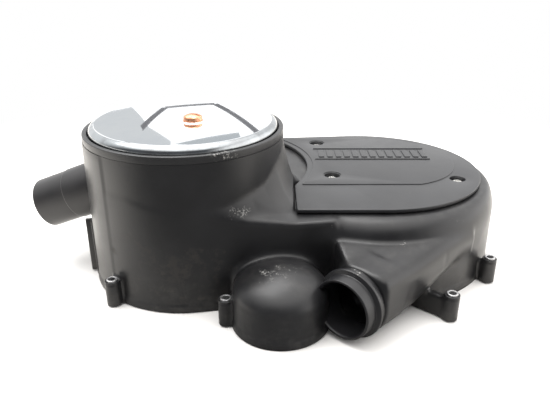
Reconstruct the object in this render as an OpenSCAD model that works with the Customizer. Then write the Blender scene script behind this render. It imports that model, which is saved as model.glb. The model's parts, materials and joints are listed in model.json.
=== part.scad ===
// Air filter housing of a small belt-drive engine.
// A round filter drum with a lift-off cap stands on a shallow belt case, with an inlet tube,
// an outlet duct and a screwed access plate on the deck.
// Lengths are millimetres. The drum axis is the working centre, and place() moves the whole
// housing so that the origin is under the middle of its bounding box.

/* [Drum] */
// Outer radius of the drum
drum_r = 95; // [79:1:114]
// Height of the drum rim above the base
drum_h = 150; // [125:1:180]
// Width of the rim seen from above
rim_w = 4.5; // [3.5:0.5:6]
// Width of the ledge that carries the cap
cap_ledge_w = 4.5; // [3:0.5:6]
// Depth of the cap ledge below the rim
cap_ledge_drop = 4.5; // [3.5:0.5:6]
// Height of the chamber floor ledge above the base
floor_z = 49; // [40:1:60]
// Width of the chamber floor ledge
floor_ledge_w = 14; // [11:1:18]

/* [Belt case] */
// Wall thickness of the mouldings
wall = 3; // [2.5:0.1:3.6]
// Radius of the left end of the case
case_left_r = 108; // [90:1:130]
// How far the left end lies behind the drum axis
case_left_y = 57; // [48:1:68]
// Radius of the right end of the case
case_right_r = 131; // [109:1:157]
// Distance of the right end from the drum axis, to the right
case_right_x = 188; // [160:1:225]
// Distance of the right end from the drum axis, to the back
case_right_y = 48; // [40:1:57]
// Height of the flat deck
deck_z = 83; // [76:1:99]
// Thickness of the deck
deck_t = 4; // [3:0.2:5]
// Height of the sloping shoulder under the deck
shoulder_h = 21; // [18:1:25]
// How far the shoulder leans in at the right end
shoulder_in = 9; // [6:0.5:12]
// How far the shoulder leans in at the left end
shoulder_in_left = 4; // [3:0.5:6]
// How far the deck's right end lies behind the wall's right end
deck_back = 9; // [6:0.5:12]
// Thickness of the base gasket
gasket_t = 1.5; // [1:0.1:2.5]
// Width of the base flange and its gasket
flange_w = 8; // [6:0.5:11]
// Thickness of the base flange
flange_t = 4; // [3:0.5:6]

/* [Bulge] */
// Radius of the round bulge at the front
bulge_r = 43; // [36:1:51]
// Place of the bulge to the right of the drum axis
bulge_x = 92; // [85:1:100]
// Place of the bulge in front of the drum axis
bulge_y = 107; // [100:1:114]
// Height of the bulge's upright wall
bulge_wall_h = 30; // [25:1:36]
// Height of the bulge's domed top
bulge_dome_h = 25; // [20:1:30]

/* [Outlet duct] */
// Outer radius of the duct neck
neck_r = 27; // [23:0.5:30]
// Length of the duct neck
neck_len = 24; // [20:1:29]
// Place of the duct mouth to the right of the drum axis
mouth_x = 141; // [136:1:146]
// Place of the duct mouth in front of the drum axis
mouth_y = 138; // [134:1:144]
// Clearance between the raised ring and the plane that the housing stands on
mouth_lift = 1; // [0.5:0.5:4]
// Direction of the duct mouth, from the right-hand axis towards the front
mouth_turn = 131.9; // [125:0.5:138]
// Height of the raised ring that stops the hose
collar_h = 4; // [3:0.5:5]
// Width of the raised ring
collar_w = 5; // [4:0.5:6]
// Left side of the duct's root
duct_left = 145; // [138:1:150]
// Width of the duct's root
duct_w = 113; // [94:1:120]
// Height of the duct's roof
duct_top = 67; // [60:1:70]

/* [Inlet tube] */
// Outer radius of the inlet tube
tube_r = 25.5; // [21.5:0.5:30]
// Thickness of the inlet tube's wall
tube_wall = 3; // [2.5:0.1:3.6]
// Length of the tube outside the drum
tube_len = 61; // [51:1:73]
// Length of the tube's end that a hose slips on
tube_grip_len = 36; // [30:1:40]
// Extra radius of the tube behind the hose's end
tube_step = 0.6; // [0.4:0.1:1]
// Direction of the tube's root round the drum
tube_root_turn = 173.3; // [168:0.5:178]
// Direction of the tube's axis
tube_turn = 171.3; // [166:0.5:176]
// Fall of the tube below level
tube_fall = 21.5; // [17:0.5:26]
// Height of the tube's root
tube_root_z = 83.5; // [80:0.5:92]
// Thickness of the rubber seal round the tube
tube_seal_t = 1.6; // [1.2:0.1:2.2]

/* [Mounting bosses] */
// Bore of the mounting sleeves, radius
sleeve_bore_r = 3.2; // [2.7:0.1:3.8]
// Outside radius of the sleeves
sleeve_r = 5; // [4.5:0.1:5.6]
// Height of the bosses
boss_h = 27; // [22:1:33]
// Outside radius of the bosses
boss_r = 7; // [6.4:0.2:8.4]
// How far a sleeve stands above its boss
sleeve_rise = 0.6; // [0.2:0.2:1.2]

/* [Filter] */
// Gap between the filter's end ring and the heads of the floor screws
filter_gap = 4.6; // [3:0.2:8]
// Thickness of the foam
foam_t = 23; // [19:1:24]
// Clearance between the filter's top and the cap ledge
filter_head_room = 7.5; // [6:0.5:10]
// Thickness of the filter's end rings
ring_t = 3; // [2.5:0.5:4]
// Overhang of the end rings past the foam
ring_over = 2; // [1:0.5:3]
// Thickness of the filter cage
cage_t = 2.5; // [2:0.5:3]
// Thickness of the chamber floor
floor_t = 3; // [2.5:0.5:4]
// Radius of the air ports in the chamber floor
port_r = 9; // [7.5:0.5:10.5]

/* [Cap] */
// Thickness of the cap's shell
cap_t = 1.5; // [1.2:0.1:2]
// Height of the cap's rolled edge above the rim
cap_roll_h = 6.5; // [5:0.5:8]
// Width of the cap's rolled edge
cap_roll_w = 7; // [5.5:0.5:8.5]
// Further rise of the cap from its edge to its centre
cap_dome_h = 3; // [2:0.5:4]
// Gap round the cap
cap_gap = 1.1; // [0.8:0.1:1.4]
// Thickness of the cap's seal
cap_seal_t = 2; // [1.5:0.1:2.5]
// Radius of the cap screw's head
cap_head_r = 8.7; // [7.5:0.1:9.2]
// Height of the cap screw's head
cap_head_h = 5.3; // [4.5:0.1:6]
// Radius of the cap screw's shank
cap_shank_r = 3; // [2.5:0.1:3.6]
// Place of the cap screw to the right of the drum axis
cap_screw_x = 11; // [9:0.5:13]
// Place of the cap screw in front of the drum axis
cap_screw_y = 18; // [15:0.5:21]

/* [Access plate] */
// Thickness of the plate
plate_t = 3.5; // [3:0.5:5]
// Distance of the plate's edge inside the deck's edge
plate_in = 6; // [5:0.5:8]
// Left side of the plate
plate_left = 107; // [103:1:111]
// Where the plate's left side turns into its arc
plate_notch_y = 2; // [0:1:4]
// Radius of the arc cut out of the plate beside the drum
plate_arc_r = 132.5; // [130:0.5:136]
// Thickness of the plate's seal
plate_seal_t = 1; // [0.8:0.1:1.4]
// Width of the plate's seal
plate_seal_w = 5; // [4:0.5:6]
// Radius of the window under the plate
window_r = 56; // [47:1:60]
// Radius of the screw recesses
recess_r = 8; // [7:0.2:8.6]
// Depth of a screw recess below the deck
recess_drop = 2; // [1.6:0.2:2.6]
// Radius of the plate screws' heads
plate_head_r = 5.5; // [4.8:0.1:6.4]
// Height of the plate screws' heads
plate_head_h = 3.6; // [3:0.2:4.2]
// Radius of the plate screws' shanks
plate_shank_r = 2.5; // [2.1:0.1:3]

/* [Hidden] */
$fn = 96;
fit = 0.4;
running = 0.08;
// How far a band's sides lie inside the circles that they join
tuck = 0.05;
over = 1;
far = 400;
// Drum
cavity_r = drum_r - wall;
seat_r = drum_r - rim_w;
ledge_r = seat_r - cap_ledge_w;
cap_seat_z = drum_h - cap_ledge_drop;
floor_ledge_r = cavity_r - floor_ledge_w;
floor_ledge_t = 4;
divider_z = floor_z - floor_ledge_t;
// Case outlines, each a left circle and a right circle: [centre, radius]
case_left = [0, case_left_y];
case_right = [case_right_x, case_right_y];
deck_right = [case_right_x + 2, case_right_y + deck_back];
deck_left_r = case_left_r - shoulder_in_left;
deck_right_r = case_right_r - shoulder_in;
shoulder_z = deck_z - shoulder_h;
ceiling_z = deck_z - deck_t;
// Shoulder between the drum and the case
flank_r = 6;
flank_drum_r = drum_r - 1;
flank_front = [case_right_x - 50, case_right_y - 116];
flank_back = [drum_r + 6, 20];
flank_front_h = deck_z - 8;
flank_drum_h = deck_z + 8;
// Bulge and duct
bulge = [bulge_x, -bulge_y];
dome_steps = 14;
dome_turn = 84;
neck_dir = [cos(mouth_turn), -sin(mouth_turn)];
mouth = [mouth_x, -mouth_y];
mouth_z = neck_r + collar_h + mouth_lift;
neck_root = mouth - neck_len * neck_dir;
neck_bore_r = neck_r - wall;
// Radius of the duct's hollow where it meets the neck, a small step inside the neck's bore
throat_r = neck_bore_r - 2;
duct_floor = 8;
duct_root_front = 20;
// Inlet tube
tube_bore_r = tube_r - tube_wall;
tube_root_r = tube_r + tube_step;
tube_hole_r = tube_root_r + tube_seal_t;
tube_root = [drum_r * cos(tube_root_turn), drum_r * sin(tube_root_turn), tube_root_z];
tube_dir = [cos(tube_fall) * cos(tube_turn), cos(tube_fall) * sin(tube_turn), -sin(tube_fall)];
tube_end = tube_root + tube_len * tube_dir;
tube_inside = 25;
// Stiffening fin below the tube
fin_turn = 190;
fin_t = 4;
fin_out = 9;
fin_h = 60;
// Bosses: [place, direction of its web, length of its web]
boss_off = 6.8;
lf_turn = 231.8;
boss_lf = (drum_r + boss_off) * [cos(lf_turn), sin(lf_turn)];
boss_mid = bulge + [-48, -4];
boss_rf = case_right + [55.5, -152];
boss_r_front = case_right + (case_right_r + 9.4) * [cos(37.8), -sin(37.8)];
back_out = 5;
function back_y(c, r, x) = c[1] + sqrt(r * r - (x - c[0]) * (x - c[0])) + back_out;
boss_lb = [boss_lf[0], back_y(case_left, case_left_r, boss_lf[0])];
boss_mb = [boss_mid[0], case_left_y + case_left_r + boss_r + back_out];
boss_rb = [boss_rf[0], back_y(case_right, case_right_r, boss_rf[0])];
boss_r_back = [boss_r_front[0], back_y(case_right, case_right_r, boss_r_front[0])];
BOSSES = [[boss_lf, lf_turn - 180, 12], [boss_mid, 52, 26], [boss_rf, 112, 42],
          [boss_r_front, 142, 16], [boss_lb, -60, 18], [boss_mb, -90, 18],
          [boss_rb, -115, 16], [boss_r_back, -142, 18]];
web_w = 9;
// Chamber floor and its fixings
floor_gasket_t = 1.5;
plate_bottom_z = floor_z + floor_gasket_t;
floor_top_z = plate_bottom_z + floor_t;
floor_r = ledge_r - fit;
floor_screw_n = 6;
floor_screw_ring_r = (floor_r + floor_ledge_r) / 2;
floor_screw_r = 1.6;
floor_head_r = 3.2;
floor_head_h = 2.2;
// Cap screw and its post
post = [cap_screw_x, -cap_screw_y];
post_turn = -atan2(cap_screw_y, cap_screw_x);
post_r = 6;
post_top_z = cap_seat_z + 1;
post_thread_len = 25;
post_foot_r = 10;
post_foot_h = 4;
nut_r = 9;
nut_h = 6;
port_ring_r = 31;
// Filter
filter_top_z = cap_seat_z - filter_head_room;
retainer_t = 2;
foam_r = floor_screw_ring_r - floor_head_r - filter_gap - ring_over;
foam_z = floor_top_z + ring_t;
foam_h = filter_top_z - retainer_t - ring_t - foam_z;
foam_in_r = foam_r - foam_t;
cage_in_r = foam_in_r - cage_t;
cage_slots = 12;
cage_slot_w = 9;
retainer_r = foam_in_r + 10;
// Cap
cap_r = seat_r - cap_gap;
cap_edge_z = cap_seat_z + cap_seal_t;
cap_roll_z = drum_h;
cap_flat_r = cap_r - cap_roll_w;
cap_steps = 10;
cap_pad_r = 10.5;
cap_pad_z = cap_roll_z + cap_roll_h + cap_dome_h + 0.4;
washer_t = 0.8;
cap_head_z = cap_pad_z + washer_t;
clip_t = 1;
clip_r = 5.5;
slot_w = 1.8;
slot_d = 1.8;
// Access plate
plate_z = deck_z + plate_seal_t;
plate_r = deck_right_r - plate_in;
plate_left_r = deck_left_r - plate_in;
plate_arc = [-10, case_left_y + 8];
plate_front_y = deck_right[1] - plate_r;
bed_gap = 1.5;
seal_in = 1.5;
window = deck_right + [13, 27];
PLATE_SCREWS = [for (o = [[-43, -27], [86, -37], [-52, 84], [56, 80]]) deck_right + o];
well_floor_t = 2;
well_z = deck_z - recess_drop;
pocket_z = well_z - well_floor_t;
well_r = recess_r + 2;
pocket_r = well_r + 0.5;
boss_under_r = pocket_r + 2.5;
insert_r = 4;
insert_h = 10;
boss_under_z = pocket_z - insert_h - 1;
plate_washer_t = 1;
plate_head_z = well_z + plate_washer_t;
plate_washer_r = plate_head_r + 0.9;
hex_r = 2.6;
hex_d = 2.2;
// Extent of the whole housing, and the shift that centres it
x_low = tube_end[0] - tube_r * sqrt(1 - tube_dir[0] * tube_dir[0]);
x_high = case_right_x + case_right_r;
y_low = min(bulge[1] - bulge_r, mouth[1] - neck_r * abs(neck_dir[0]));
y_high = max(boss_mb[1], boss_rb[1]) + boss_r;
shift = [-(x_low + x_high) / 2, -(y_low + y_high) / 2, 0];

// Shared shapes -------------------------------------------------------------------------

module place() { translate(shift) children(); }

module at(p, z = 0) { translate([p[0], p[1], z]) children(); }

module pipe(outer, inner, h) {
    difference() {
        cylinder(r = outer, h = h);
        translate([0, 0, -over]) cylinder(r = inner, h = h + 2 * over);
    }
}

// Outline of a belt round two circles: the circles and the band between their tangents
module belt_outline(c1, r1, c2, r2) {
    run = c2 - c1;
    base = atan2(run[1], run[0]);
    lean = 90 + asin((r2 - r1) / norm(run));
    up = [cos(base + lean), sin(base + lean)];
    down = [cos(base - lean), sin(base - lean)];
    translate(c1) circle(r = r1);
    translate(c2) circle(r = r2);
    a = r1 - tuck;
    b = r2 - tuck;
    polygon([c1 + a * up, c1 + a * down, c2 + b * down, c2 + b * up]);
}

module wall_outline(inset) {
    belt_outline(case_left, case_left_r - inset, case_right, case_right_r - inset);
}

// Whole footprint: drum, case, the shoulder between them, and the bulge
module base_outline(inset) {
    circle(r = drum_r - inset);
    wall_outline(inset);
    belt_outline([0, 0], drum_r - inset, flank_front, flank_r);
    translate(bulge) circle(r = bulge_r - inset);
}

module along_tube(start) {
    translate(tube_root + start * tube_dir) rotate([0, 90 + tube_fall, tube_turn]) children();
}

module along_neck(p) {
    at(p, mouth_z) rotate([0, 90, -mouth_turn]) children();
}

// Main housing --------------------------------------------------------------------------

module belt_case(inset, low, top_drop) {
    translate([0, 0, low]) linear_extrude(shoulder_z - low) wall_outline(inset);
    hull() {
        at(case_left, shoulder_z - 1) cylinder(r = case_left_r - inset, h = 1);
        at(case_right, shoulder_z - 1) cylinder(r = case_right_r - inset, h = 1);
        at(case_left, deck_z - top_drop - 1) cylinder(r = deck_left_r - inset, h = 1);
        at(deck_right, deck_z - top_drop - 1) cylinder(r = deck_right_r - inset, h = 1);
    }
}

module flank(inset, low) {
    hull() {
        translate([0, 0, low]) cylinder(r = flank_drum_r - inset, h = flank_drum_h - low - inset);
        at(flank_front, low) cylinder(r = flank_r, h = flank_front_h - low - inset);
        at(flank_back, low) cylinder(r = flank_r, h = deck_z - low - inset);
    }
}

module bulge_shape(inset, low) {
    r = bulge_r - inset;
    rise = bulge_dome_h - inset;
    dome = [for (i = [0:dome_steps]) let (a = dome_turn * i / dome_steps)
        [r * cos(a), bulge_wall_h + rise * sin(a)]];
    top_z = bulge_wall_h + rise * sin(dome_turn);
    translate(bulge) rotate_extrude() polygon(concat([[0, low], [r, low]], dome, [[0, top_z]]));
}

module duct_shape(inset, disc_r) {
    hull() {
        translate([duct_left + inset, case_right_y - case_right_r + duct_root_front, duct_floor + inset])
            cube([duct_w - 2 * inset, duct_root_front, duct_top - duct_floor - 2 * inset]);
        along_neck(neck_root) cylinder(r = disc_r, h = 2);
    }
}

module boss(b) {
    at(b[0]) cylinder(r = boss_r, h = boss_h);
    at(b[0], gasket_t) rotate([0, 0, b[1]]) translate([0, -web_w / 2, 0])
        cube([b[2], web_w, boss_h - 4]);
}

module case_hollow() {
    difference() {
        union() {
            belt_case(wall, -over, deck_t);
            flank(wall, -over);
            bulge_shape(wall, -over);
            duct_shape(wall, throat_r);
        }
        drum_space();
        for (p = PLATE_SCREWS) at(p, boss_under_z) cylinder(r = boss_under_r, h = far);
    }
}

// Space of the filter drum, from the underside of its floor ledge to its rim
module drum_space() {
    translate([0, 0, divider_z]) cylinder(r = drum_r, h = far);
}

module main_housing() {
    color("#2b2c2f") place() difference() {
        union() {
            difference() {
                union() {
                    translate([0, 0, gasket_t]) cylinder(r = drum_r, h = divider_z - gasket_t);
                    belt_case(0, gasket_t, 0);
                    flank(0, gasket_t);
                    bulge_shape(0, gasket_t);
                    duct_shape(0, neck_r + 2);
                    rotate([0, 0, fin_turn]) translate([drum_r - wall, -fin_t / 2, gasket_t])
                        cube([fin_out + wall, fin_t, fin_h - gasket_t]);
                    for (b = BOSSES) boss(b);
                }
                case_hollow();
                translate([0, 0, -over]) cylinder(r = cavity_r, h = divider_z + over);
                drum_space();
            }
            translate([0, 0, gasket_t]) linear_extrude(flange_t) difference() {
                base_outline(0);
                base_outline(flange_w);
            }
            along_neck(neck_root) pipe(neck_r, neck_bore_r, neck_len);
            along_neck(neck_root) translate([0, 0, neck_len / 2 - collar_w])
                pipe(neck_r + collar_h, neck_bore_r, collar_w);
        }
        along_neck(neck_root) translate([0, 0, over]) cylinder(r = neck_bore_r, h = neck_len);
        along_tube(-tube_inside) cylinder(r = tube_hole_r, h = tube_inside + tube_len);
        translate([0, 0, deck_z]) linear_extrude(far) difference() {
            plate_outline(-bed_gap);
            circle(r = drum_r);
        }
        at(window, boss_under_z) cylinder(r = window_r, h = far);
        for (p = PLATE_SCREWS) {
            at(p, pocket_z) cylinder(r = pocket_r, h = far);
            at(p, boss_under_z - over) cylinder(r = insert_r, h = far);
        }
        for (b = BOSSES) at(b[0], -over) cylinder(r = sleeve_r, h = far);
    }
}

// Upper part of the moulding, which holds the filter
module filter_drum() {
    color("#2b2c2f") place() difference() {
        translate([0, 0, divider_z]) cylinder(r = drum_r, h = drum_h - divider_z);
        translate([0, 0, divider_z - over]) cylinder(r = floor_ledge_r, h = floor_ledge_t + 2 * over);
        translate([0, 0, floor_z]) cylinder(r = cavity_r, h = cap_seat_z - wall - floor_z);
        translate([0, 0, floor_z]) cylinder(r = ledge_r, h = far);
        translate([0, 0, cap_seat_z]) cylinder(r = seat_r, h = far);
        along_tube(-tube_inside) cylinder(r = tube_hole_r, h = tube_inside + tube_len);
        for (i = [1:floor_screw_n]) rotate([0, 0, 360 / floor_screw_n * i])
            translate([floor_screw_ring_r, 0, divider_z - over]) cylinder(r = floor_screw_r, h = 20);
    }
}

module base_gasket() {
    color("#1a1a1a") place() difference() {
        linear_extrude(gasket_t) difference() {
            base_outline(0);
            base_outline(flange_w);
        }
        for (b = BOSSES) at(b[0], -over) cylinder(r = boss_r + fit, h = gasket_t + 2 * over);
    }
}

module mount_sleeves() {
    color("#b9babc") place() for (b = BOSSES) at(b[0]) pipe(sleeve_r, sleeve_bore_r, boss_h + sleeve_rise);
}

// Inlet tube ----------------------------------------------------------------------------

module inlet_tube() {
    color("#26272a") place() difference() {
        union() {
            along_tube(-tube_inside) cylinder(r = tube_root_r, h = tube_inside + tube_len - tube_grip_len);
            along_tube(0) cylinder(r = tube_r, h = tube_len);
        }
        along_tube(-tube_inside - over) cylinder(r = tube_bore_r, h = tube_inside + tube_len + 2 * over);
        cylinder(r = cavity_r, h = drum_h);
    }
}

module inlet_tube_seal() {
    color("#141414") place() intersection() {
        along_tube(-tube_inside) pipe(tube_hole_r, tube_root_r, 2 * tube_inside);
        pipe(drum_r, cavity_r, drum_h);
    }
}

// Filter chamber ------------------------------------------------------------------------

module chamber_floor() {
    color("#3a3b3e") place() difference() {
        union() {
            translate([0, 0, plate_bottom_z]) cylinder(r = floor_r, h = floor_t);
            at(post, plate_bottom_z) cylinder(r = post_foot_r, h = floor_t + post_foot_h);
        }
        at(post, 0) cylinder(r = post_r, h = far);
        for (i = [1:5]) rotate([0, 0, post_turn + 60 * i])
            translate([port_ring_r, 0, 0]) cylinder(r = port_r, h = far);
        for (i = [1:floor_screw_n]) rotate([0, 0, 360 / floor_screw_n * i])
            translate([floor_screw_ring_r, 0, 0]) cylinder(r = floor_screw_r, h = far);
    }
}

module floor_gasket() {
    color("#1a1a1a") place() difference() {
        translate([0, 0, floor_z]) pipe(floor_r, floor_ledge_r, floor_gasket_t);
        for (i = [1:floor_screw_n]) rotate([0, 0, 360 / floor_screw_n * i])
            translate([floor_screw_ring_r, 0, 0]) cylinder(r = floor_screw_r, h = far);
    }
}

module floor_screws() {
    color("#c8c8ca") place() for (i = [1:floor_screw_n]) rotate([0, 0, 360 / floor_screw_n * i])
        translate([floor_screw_ring_r, 0, 0]) {
            translate([0, 0, floor_top_z]) cylinder(r = floor_head_r, h = floor_head_h);
            translate([0, 0, divider_z]) cylinder(r = floor_screw_r, h = floor_top_z - divider_z);
        }
}

module cap_post() {
    color("#c8c8ca") place() difference() {
        at(post, plate_bottom_z - nut_h) cylinder(r = post_r, h = post_top_z - plate_bottom_z + nut_h);
        at(post, post_top_z - post_thread_len) cylinder(r = cap_shank_r + running, h = far);
    }
}

module post_nut() {
    color("#b9babc") place() difference() {
        at(post, plate_bottom_z - nut_h) cylinder(r = nut_r, h = nut_h, $fn = 6);
        at(post, 0) cylinder(r = post_r, h = far);
    }
}

// Filter --------------------------------------------------------------------------------

module filter_cage() {
    color("#8d8f92") place() difference() {
        translate([0, 0, foam_z]) pipe(foam_in_r, cage_in_r, foam_h);
        for (i = [1:cage_slots]) rotate([0, 0, 360 / cage_slots * i])
            translate([cage_in_r - over, -cage_slot_w / 2, foam_z + foam_h / 8])
                cube([cage_t + 2 * over, cage_slot_w, foam_h * 3 / 4]);
    }
}

module filter_foam() {
    color("#7c7f6a") place() translate([0, 0, foam_z]) pipe(foam_r, foam_in_r, foam_h);
}

module end_ring(z) {
    translate([0, 0, z]) pipe(foam_r + ring_over, cage_in_r, ring_t);
}

module filter_bottom_ring() { color("#202124") place() end_ring(floor_top_z); }

module filter_top_ring() { color("#202124") place() end_ring(foam_z + foam_h); }

module filter_retainer() {
    color("#9a9da0") place() difference() {
        translate([0, 0, filter_top_z - retainer_t]) cylinder(r = retainer_r, h = retainer_t);
        at(post, 0) cylinder(r = post_r + fit, h = far);
    }
}

// Cap -----------------------------------------------------------------------------------

// Profile of the cap: a shallow dome that ends in a rolled edge and a short upright skirt
function cap_profile(drop) = concat(
    [for (i = [0:cap_steps]) let (u = i / cap_steps)
        [cap_flat_r * u, cap_roll_z + cap_roll_h + cap_dome_h * (1 - u * u) - drop]],
    [for (i = [1:cap_steps]) let (a = 90 * i / cap_steps)
        [cap_flat_r + (cap_roll_w - drop) * sin(a), cap_roll_z + (cap_roll_h - drop) * cos(a)]]);

module cap() {
    color("#dfe3e8") place() difference() {
        union() {
            rotate_extrude() difference() {
                polygon(concat([[0, cap_edge_z]], cap_profile(0), [[cap_r, cap_edge_z]]));
                polygon(concat([[0, cap_edge_z - over]], cap_profile(cap_t),
                               [[cap_r - cap_t, cap_edge_z - over]]));
            }
            at(post, cap_pad_z - cap_t - 1) cylinder(r = cap_pad_r, h = cap_t + 1);
        }
        at(post, 0) cylinder(r = cap_shank_r + fit, h = far);
    }
}

module cap_seal() {
    color("#141414") place() translate([0, 0, cap_seat_z]) pipe(cap_r, ledge_r + 1, cap_seal_t);
}

module cap_screw() {
    head = [for (i = [0:cap_steps]) let (a = 90 * i / cap_steps)
        [cap_head_r * cos(a), cap_head_z + 1 + (cap_head_h - 1) * sin(a)]];
    tip_z = post_top_z - post_thread_len + 2;
    color("#b0713f") place() at(post) difference() {
        union() {
            rotate_extrude() polygon(concat([[0, cap_head_z], [cap_head_r, cap_head_z]], head));
            translate([0, 0, tip_z]) cylinder(r = cap_shank_r, h = cap_head_z - tip_z + 1);
        }
        translate([-cap_head_r, -slot_w / 2, cap_head_z + cap_head_h - slot_d])
            cube([2 * cap_head_r, slot_w, slot_d + over]);
    }
}

module cap_screw_washer() {
    color("#6d4a30") place() at(post, cap_pad_z) pipe(cap_head_r + 0.5, cap_shank_r + fit, washer_t);
}

module cap_screw_clip() {
    color("#8d8f92") place() at(post, cap_pad_z - cap_t - 1 - fit - clip_t)
        pipe(clip_r, cap_shank_r, clip_t);
}

// Access plate --------------------------------------------------------------------------

module plate_outline(inset) {
    difference() {
        union() {
            belt_outline(case_left, plate_left_r - inset, deck_right, plate_r - inset);
            translate([plate_left, plate_front_y + inset])
                square([deck_right[0] - plate_left, plate_r - inset]);
        }
        translate(plate_arc) circle(r = plate_arc_r + inset);
        translate([-far, -far]) square([far + plate_left + inset, far + plate_notch_y]);
    }
}

module top_plate() {
    color("#3c3e42") place() difference() {
        union() {
            translate([0, 0, plate_z]) linear_extrude(plate_t) plate_outline(0);
            for (p = PLATE_SCREWS) at(p, pocket_z) cylinder(r = well_r, h = plate_z - pocket_z + 1);
        }
        for (p = PLATE_SCREWS) {
            at(p, well_z) cylinder(r = recess_r, h = far);
            at(p, 0) cylinder(r = plate_shank_r + fit, h = far);
        }
    }
}

module plate_seal() {
    color("#141414") place() translate([0, 0, deck_z]) linear_extrude(plate_seal_t) difference() {
        plate_outline(seal_in);
        plate_outline(seal_in + plate_seal_w);
        for (p = PLATE_SCREWS) translate(p) circle(r = pocket_r);
    }
}

module plate_screw(p) {
    color("#d6d7da") place() at(p) difference() {
        union() {
            translate([0, 0, plate_head_z]) cylinder(r = plate_head_r, h = plate_head_h);
            translate([0, 0, pocket_z - insert_h + 1])
                cylinder(r = plate_shank_r, h = plate_head_z - pocket_z + insert_h);
        }
        translate([0, 0, plate_head_z + plate_head_h - hex_d]) cylinder(r = hex_r, h = far, $fn = 6);
    }
}

module plate_washers() {
    color("#b9babc") place() for (p = PLATE_SCREWS) at(p, well_z)
        pipe(plate_washer_r, plate_shank_r + fit, plate_washer_t);
}

module plate_inserts() {
    color("#b58b3a") place() for (p = PLATE_SCREWS) at(p, pocket_z - insert_h)
        pipe(insert_r, plate_shank_r + running, insert_h);
}

main_housing();
filter_drum();
base_gasket();
mount_sleeves();
inlet_tube();
inlet_tube_seal();
chamber_floor();
floor_gasket();
floor_screws();
cap_post();
post_nut();
filter_cage();
filter_foam();
filter_bottom_ring();
filter_top_ring();
filter_retainer();
cap();
cap_seal();
cap_screw();
cap_screw_washer();
cap_screw_clip();
top_plate();
plate_seal();
plate_screw(PLATE_SCREWS[0]);  // plate_screw_1
plate_screw(PLATE_SCREWS[1]);  // plate_screw_2
plate_screw(PLATE_SCREWS[2]);  // plate_screw_3
plate_screw(PLATE_SCREWS[3]);  // plate_screw_4
plate_washers();
plate_inserts();
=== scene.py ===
# %% [markdown]
# # An air filter housing, piece by piece
# The real thing is one black moulding, a round filter drum that grows out of a shallow belt
# case, with a polished lift-off cap, a screwed access plate, a straight inlet tube and a short
# outlet duct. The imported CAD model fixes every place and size. This script adds the looks:
# soft blends between the shapes, rounded edges, and plastic, rubber, chrome and copper.
# %% Load the frame
import json
import math

import bmesh
import bpy
import numpy as np
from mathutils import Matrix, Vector


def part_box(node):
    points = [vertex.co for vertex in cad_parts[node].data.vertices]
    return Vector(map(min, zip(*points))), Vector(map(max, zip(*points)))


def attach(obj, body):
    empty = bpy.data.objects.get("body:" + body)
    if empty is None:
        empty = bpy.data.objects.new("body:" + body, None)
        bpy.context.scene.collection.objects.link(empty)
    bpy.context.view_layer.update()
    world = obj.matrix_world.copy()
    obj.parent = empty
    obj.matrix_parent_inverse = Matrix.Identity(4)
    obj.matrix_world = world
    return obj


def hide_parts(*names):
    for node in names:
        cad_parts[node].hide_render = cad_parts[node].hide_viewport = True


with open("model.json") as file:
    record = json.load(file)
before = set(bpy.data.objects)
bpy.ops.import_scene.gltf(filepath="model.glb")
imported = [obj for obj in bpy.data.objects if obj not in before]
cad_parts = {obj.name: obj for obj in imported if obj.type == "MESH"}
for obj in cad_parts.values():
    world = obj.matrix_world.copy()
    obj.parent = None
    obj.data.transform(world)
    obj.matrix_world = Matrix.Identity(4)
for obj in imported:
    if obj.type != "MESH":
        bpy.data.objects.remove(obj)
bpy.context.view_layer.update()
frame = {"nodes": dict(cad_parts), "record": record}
nodes = frame["nodes"]
record = frame["record"]

# %% [markdown]
# ## Working units
# A moulding is easiest to describe from its own centre. The drum's axis is that centre here, so
# shapes are written in millimetres from it and moved into the frame at the very end. The axis
# is read from the cap's box, and bores, screws and tubes come from the record's mounts.
# %% Centre on the drum
MM = 0.001  # metres in a millimetre


def middle(node):
    """Centre of a CAD node's box, in metres."""
    low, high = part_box(node)
    return (np.array(low) + np.array(high)) / 2


AXIS = middle("cap") * (1, 1, 0)


def from_row(place):
    """Row metres to millimetres from the drum axis."""
    return (np.array(place, float) - AXIS) / MM


mounts = {m["name"]: m for m in record["mounts"]}
SCREWS = [from_row(middle(f"plate_screw_{i}")) for i in (1, 2, 3, 4)]
CAP_SCREW = from_row(middle("cap_screw"))
BOSSES = []
for pattern in ("left_bolts", "middle_bolts", "right_bolts", "end_bolts"):
    centre = from_row(mounts[pattern]["pos_m"])
    half = mounts[pattern]["dims"]["spacing_y_mm"] / 2
    BOSSES += [centre - (0, half, 0), centre + (0, half, 0)]
NECK_DIR = np.array(mounts["outlet_neck"]["axis"])
TUBE_DIR = np.array(mounts["inlet_tube_end"]["axis"])
print("drum axis", AXIS.round(4), "bosses", len(BOSSES), "plate screws", len(SCREWS))

# %% [markdown]
# ## Sizes of the moulding
# These are the same driving sizes as in the CAD model, all in millimetres.
# %% Named sizes
DRUM_R, DRUM_H, WALL = 95.0, 150.0, 3.0
LEFT_C, LEFT_R = np.array([0.0, 57.0]), 108.0
RIGHT_C, RIGHT_R = np.array([188.0, 48.0]), 131.0
DECK_Z, SHOULDER_H = 83.0, 24.0
BULGE_C, BULGE_R, BULGE_WALL_H, BULGE_DOME_H = np.array([92.0, -107.0]), 43.0, 30.0, 25.0
NECK_R, NECK_LEN = 27.0, 24.0
MOUTH = from_row(mounts["outlet_neck"]["pos_m"])
NECK_ROOT = MOUTH - NECK_LEN * NECK_DIR
TUBE_R, TUBE_LEN, TUBE_GRIP, TUBE_STEP, TUBE_SEAL_R = 25.5, 61.0, 36.0, 0.6, 27.7
BOSS_H, BOSS_R, SLEEVE_R = 27.0, 7.0, 5.0
GASKET_T = 1.5

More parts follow.
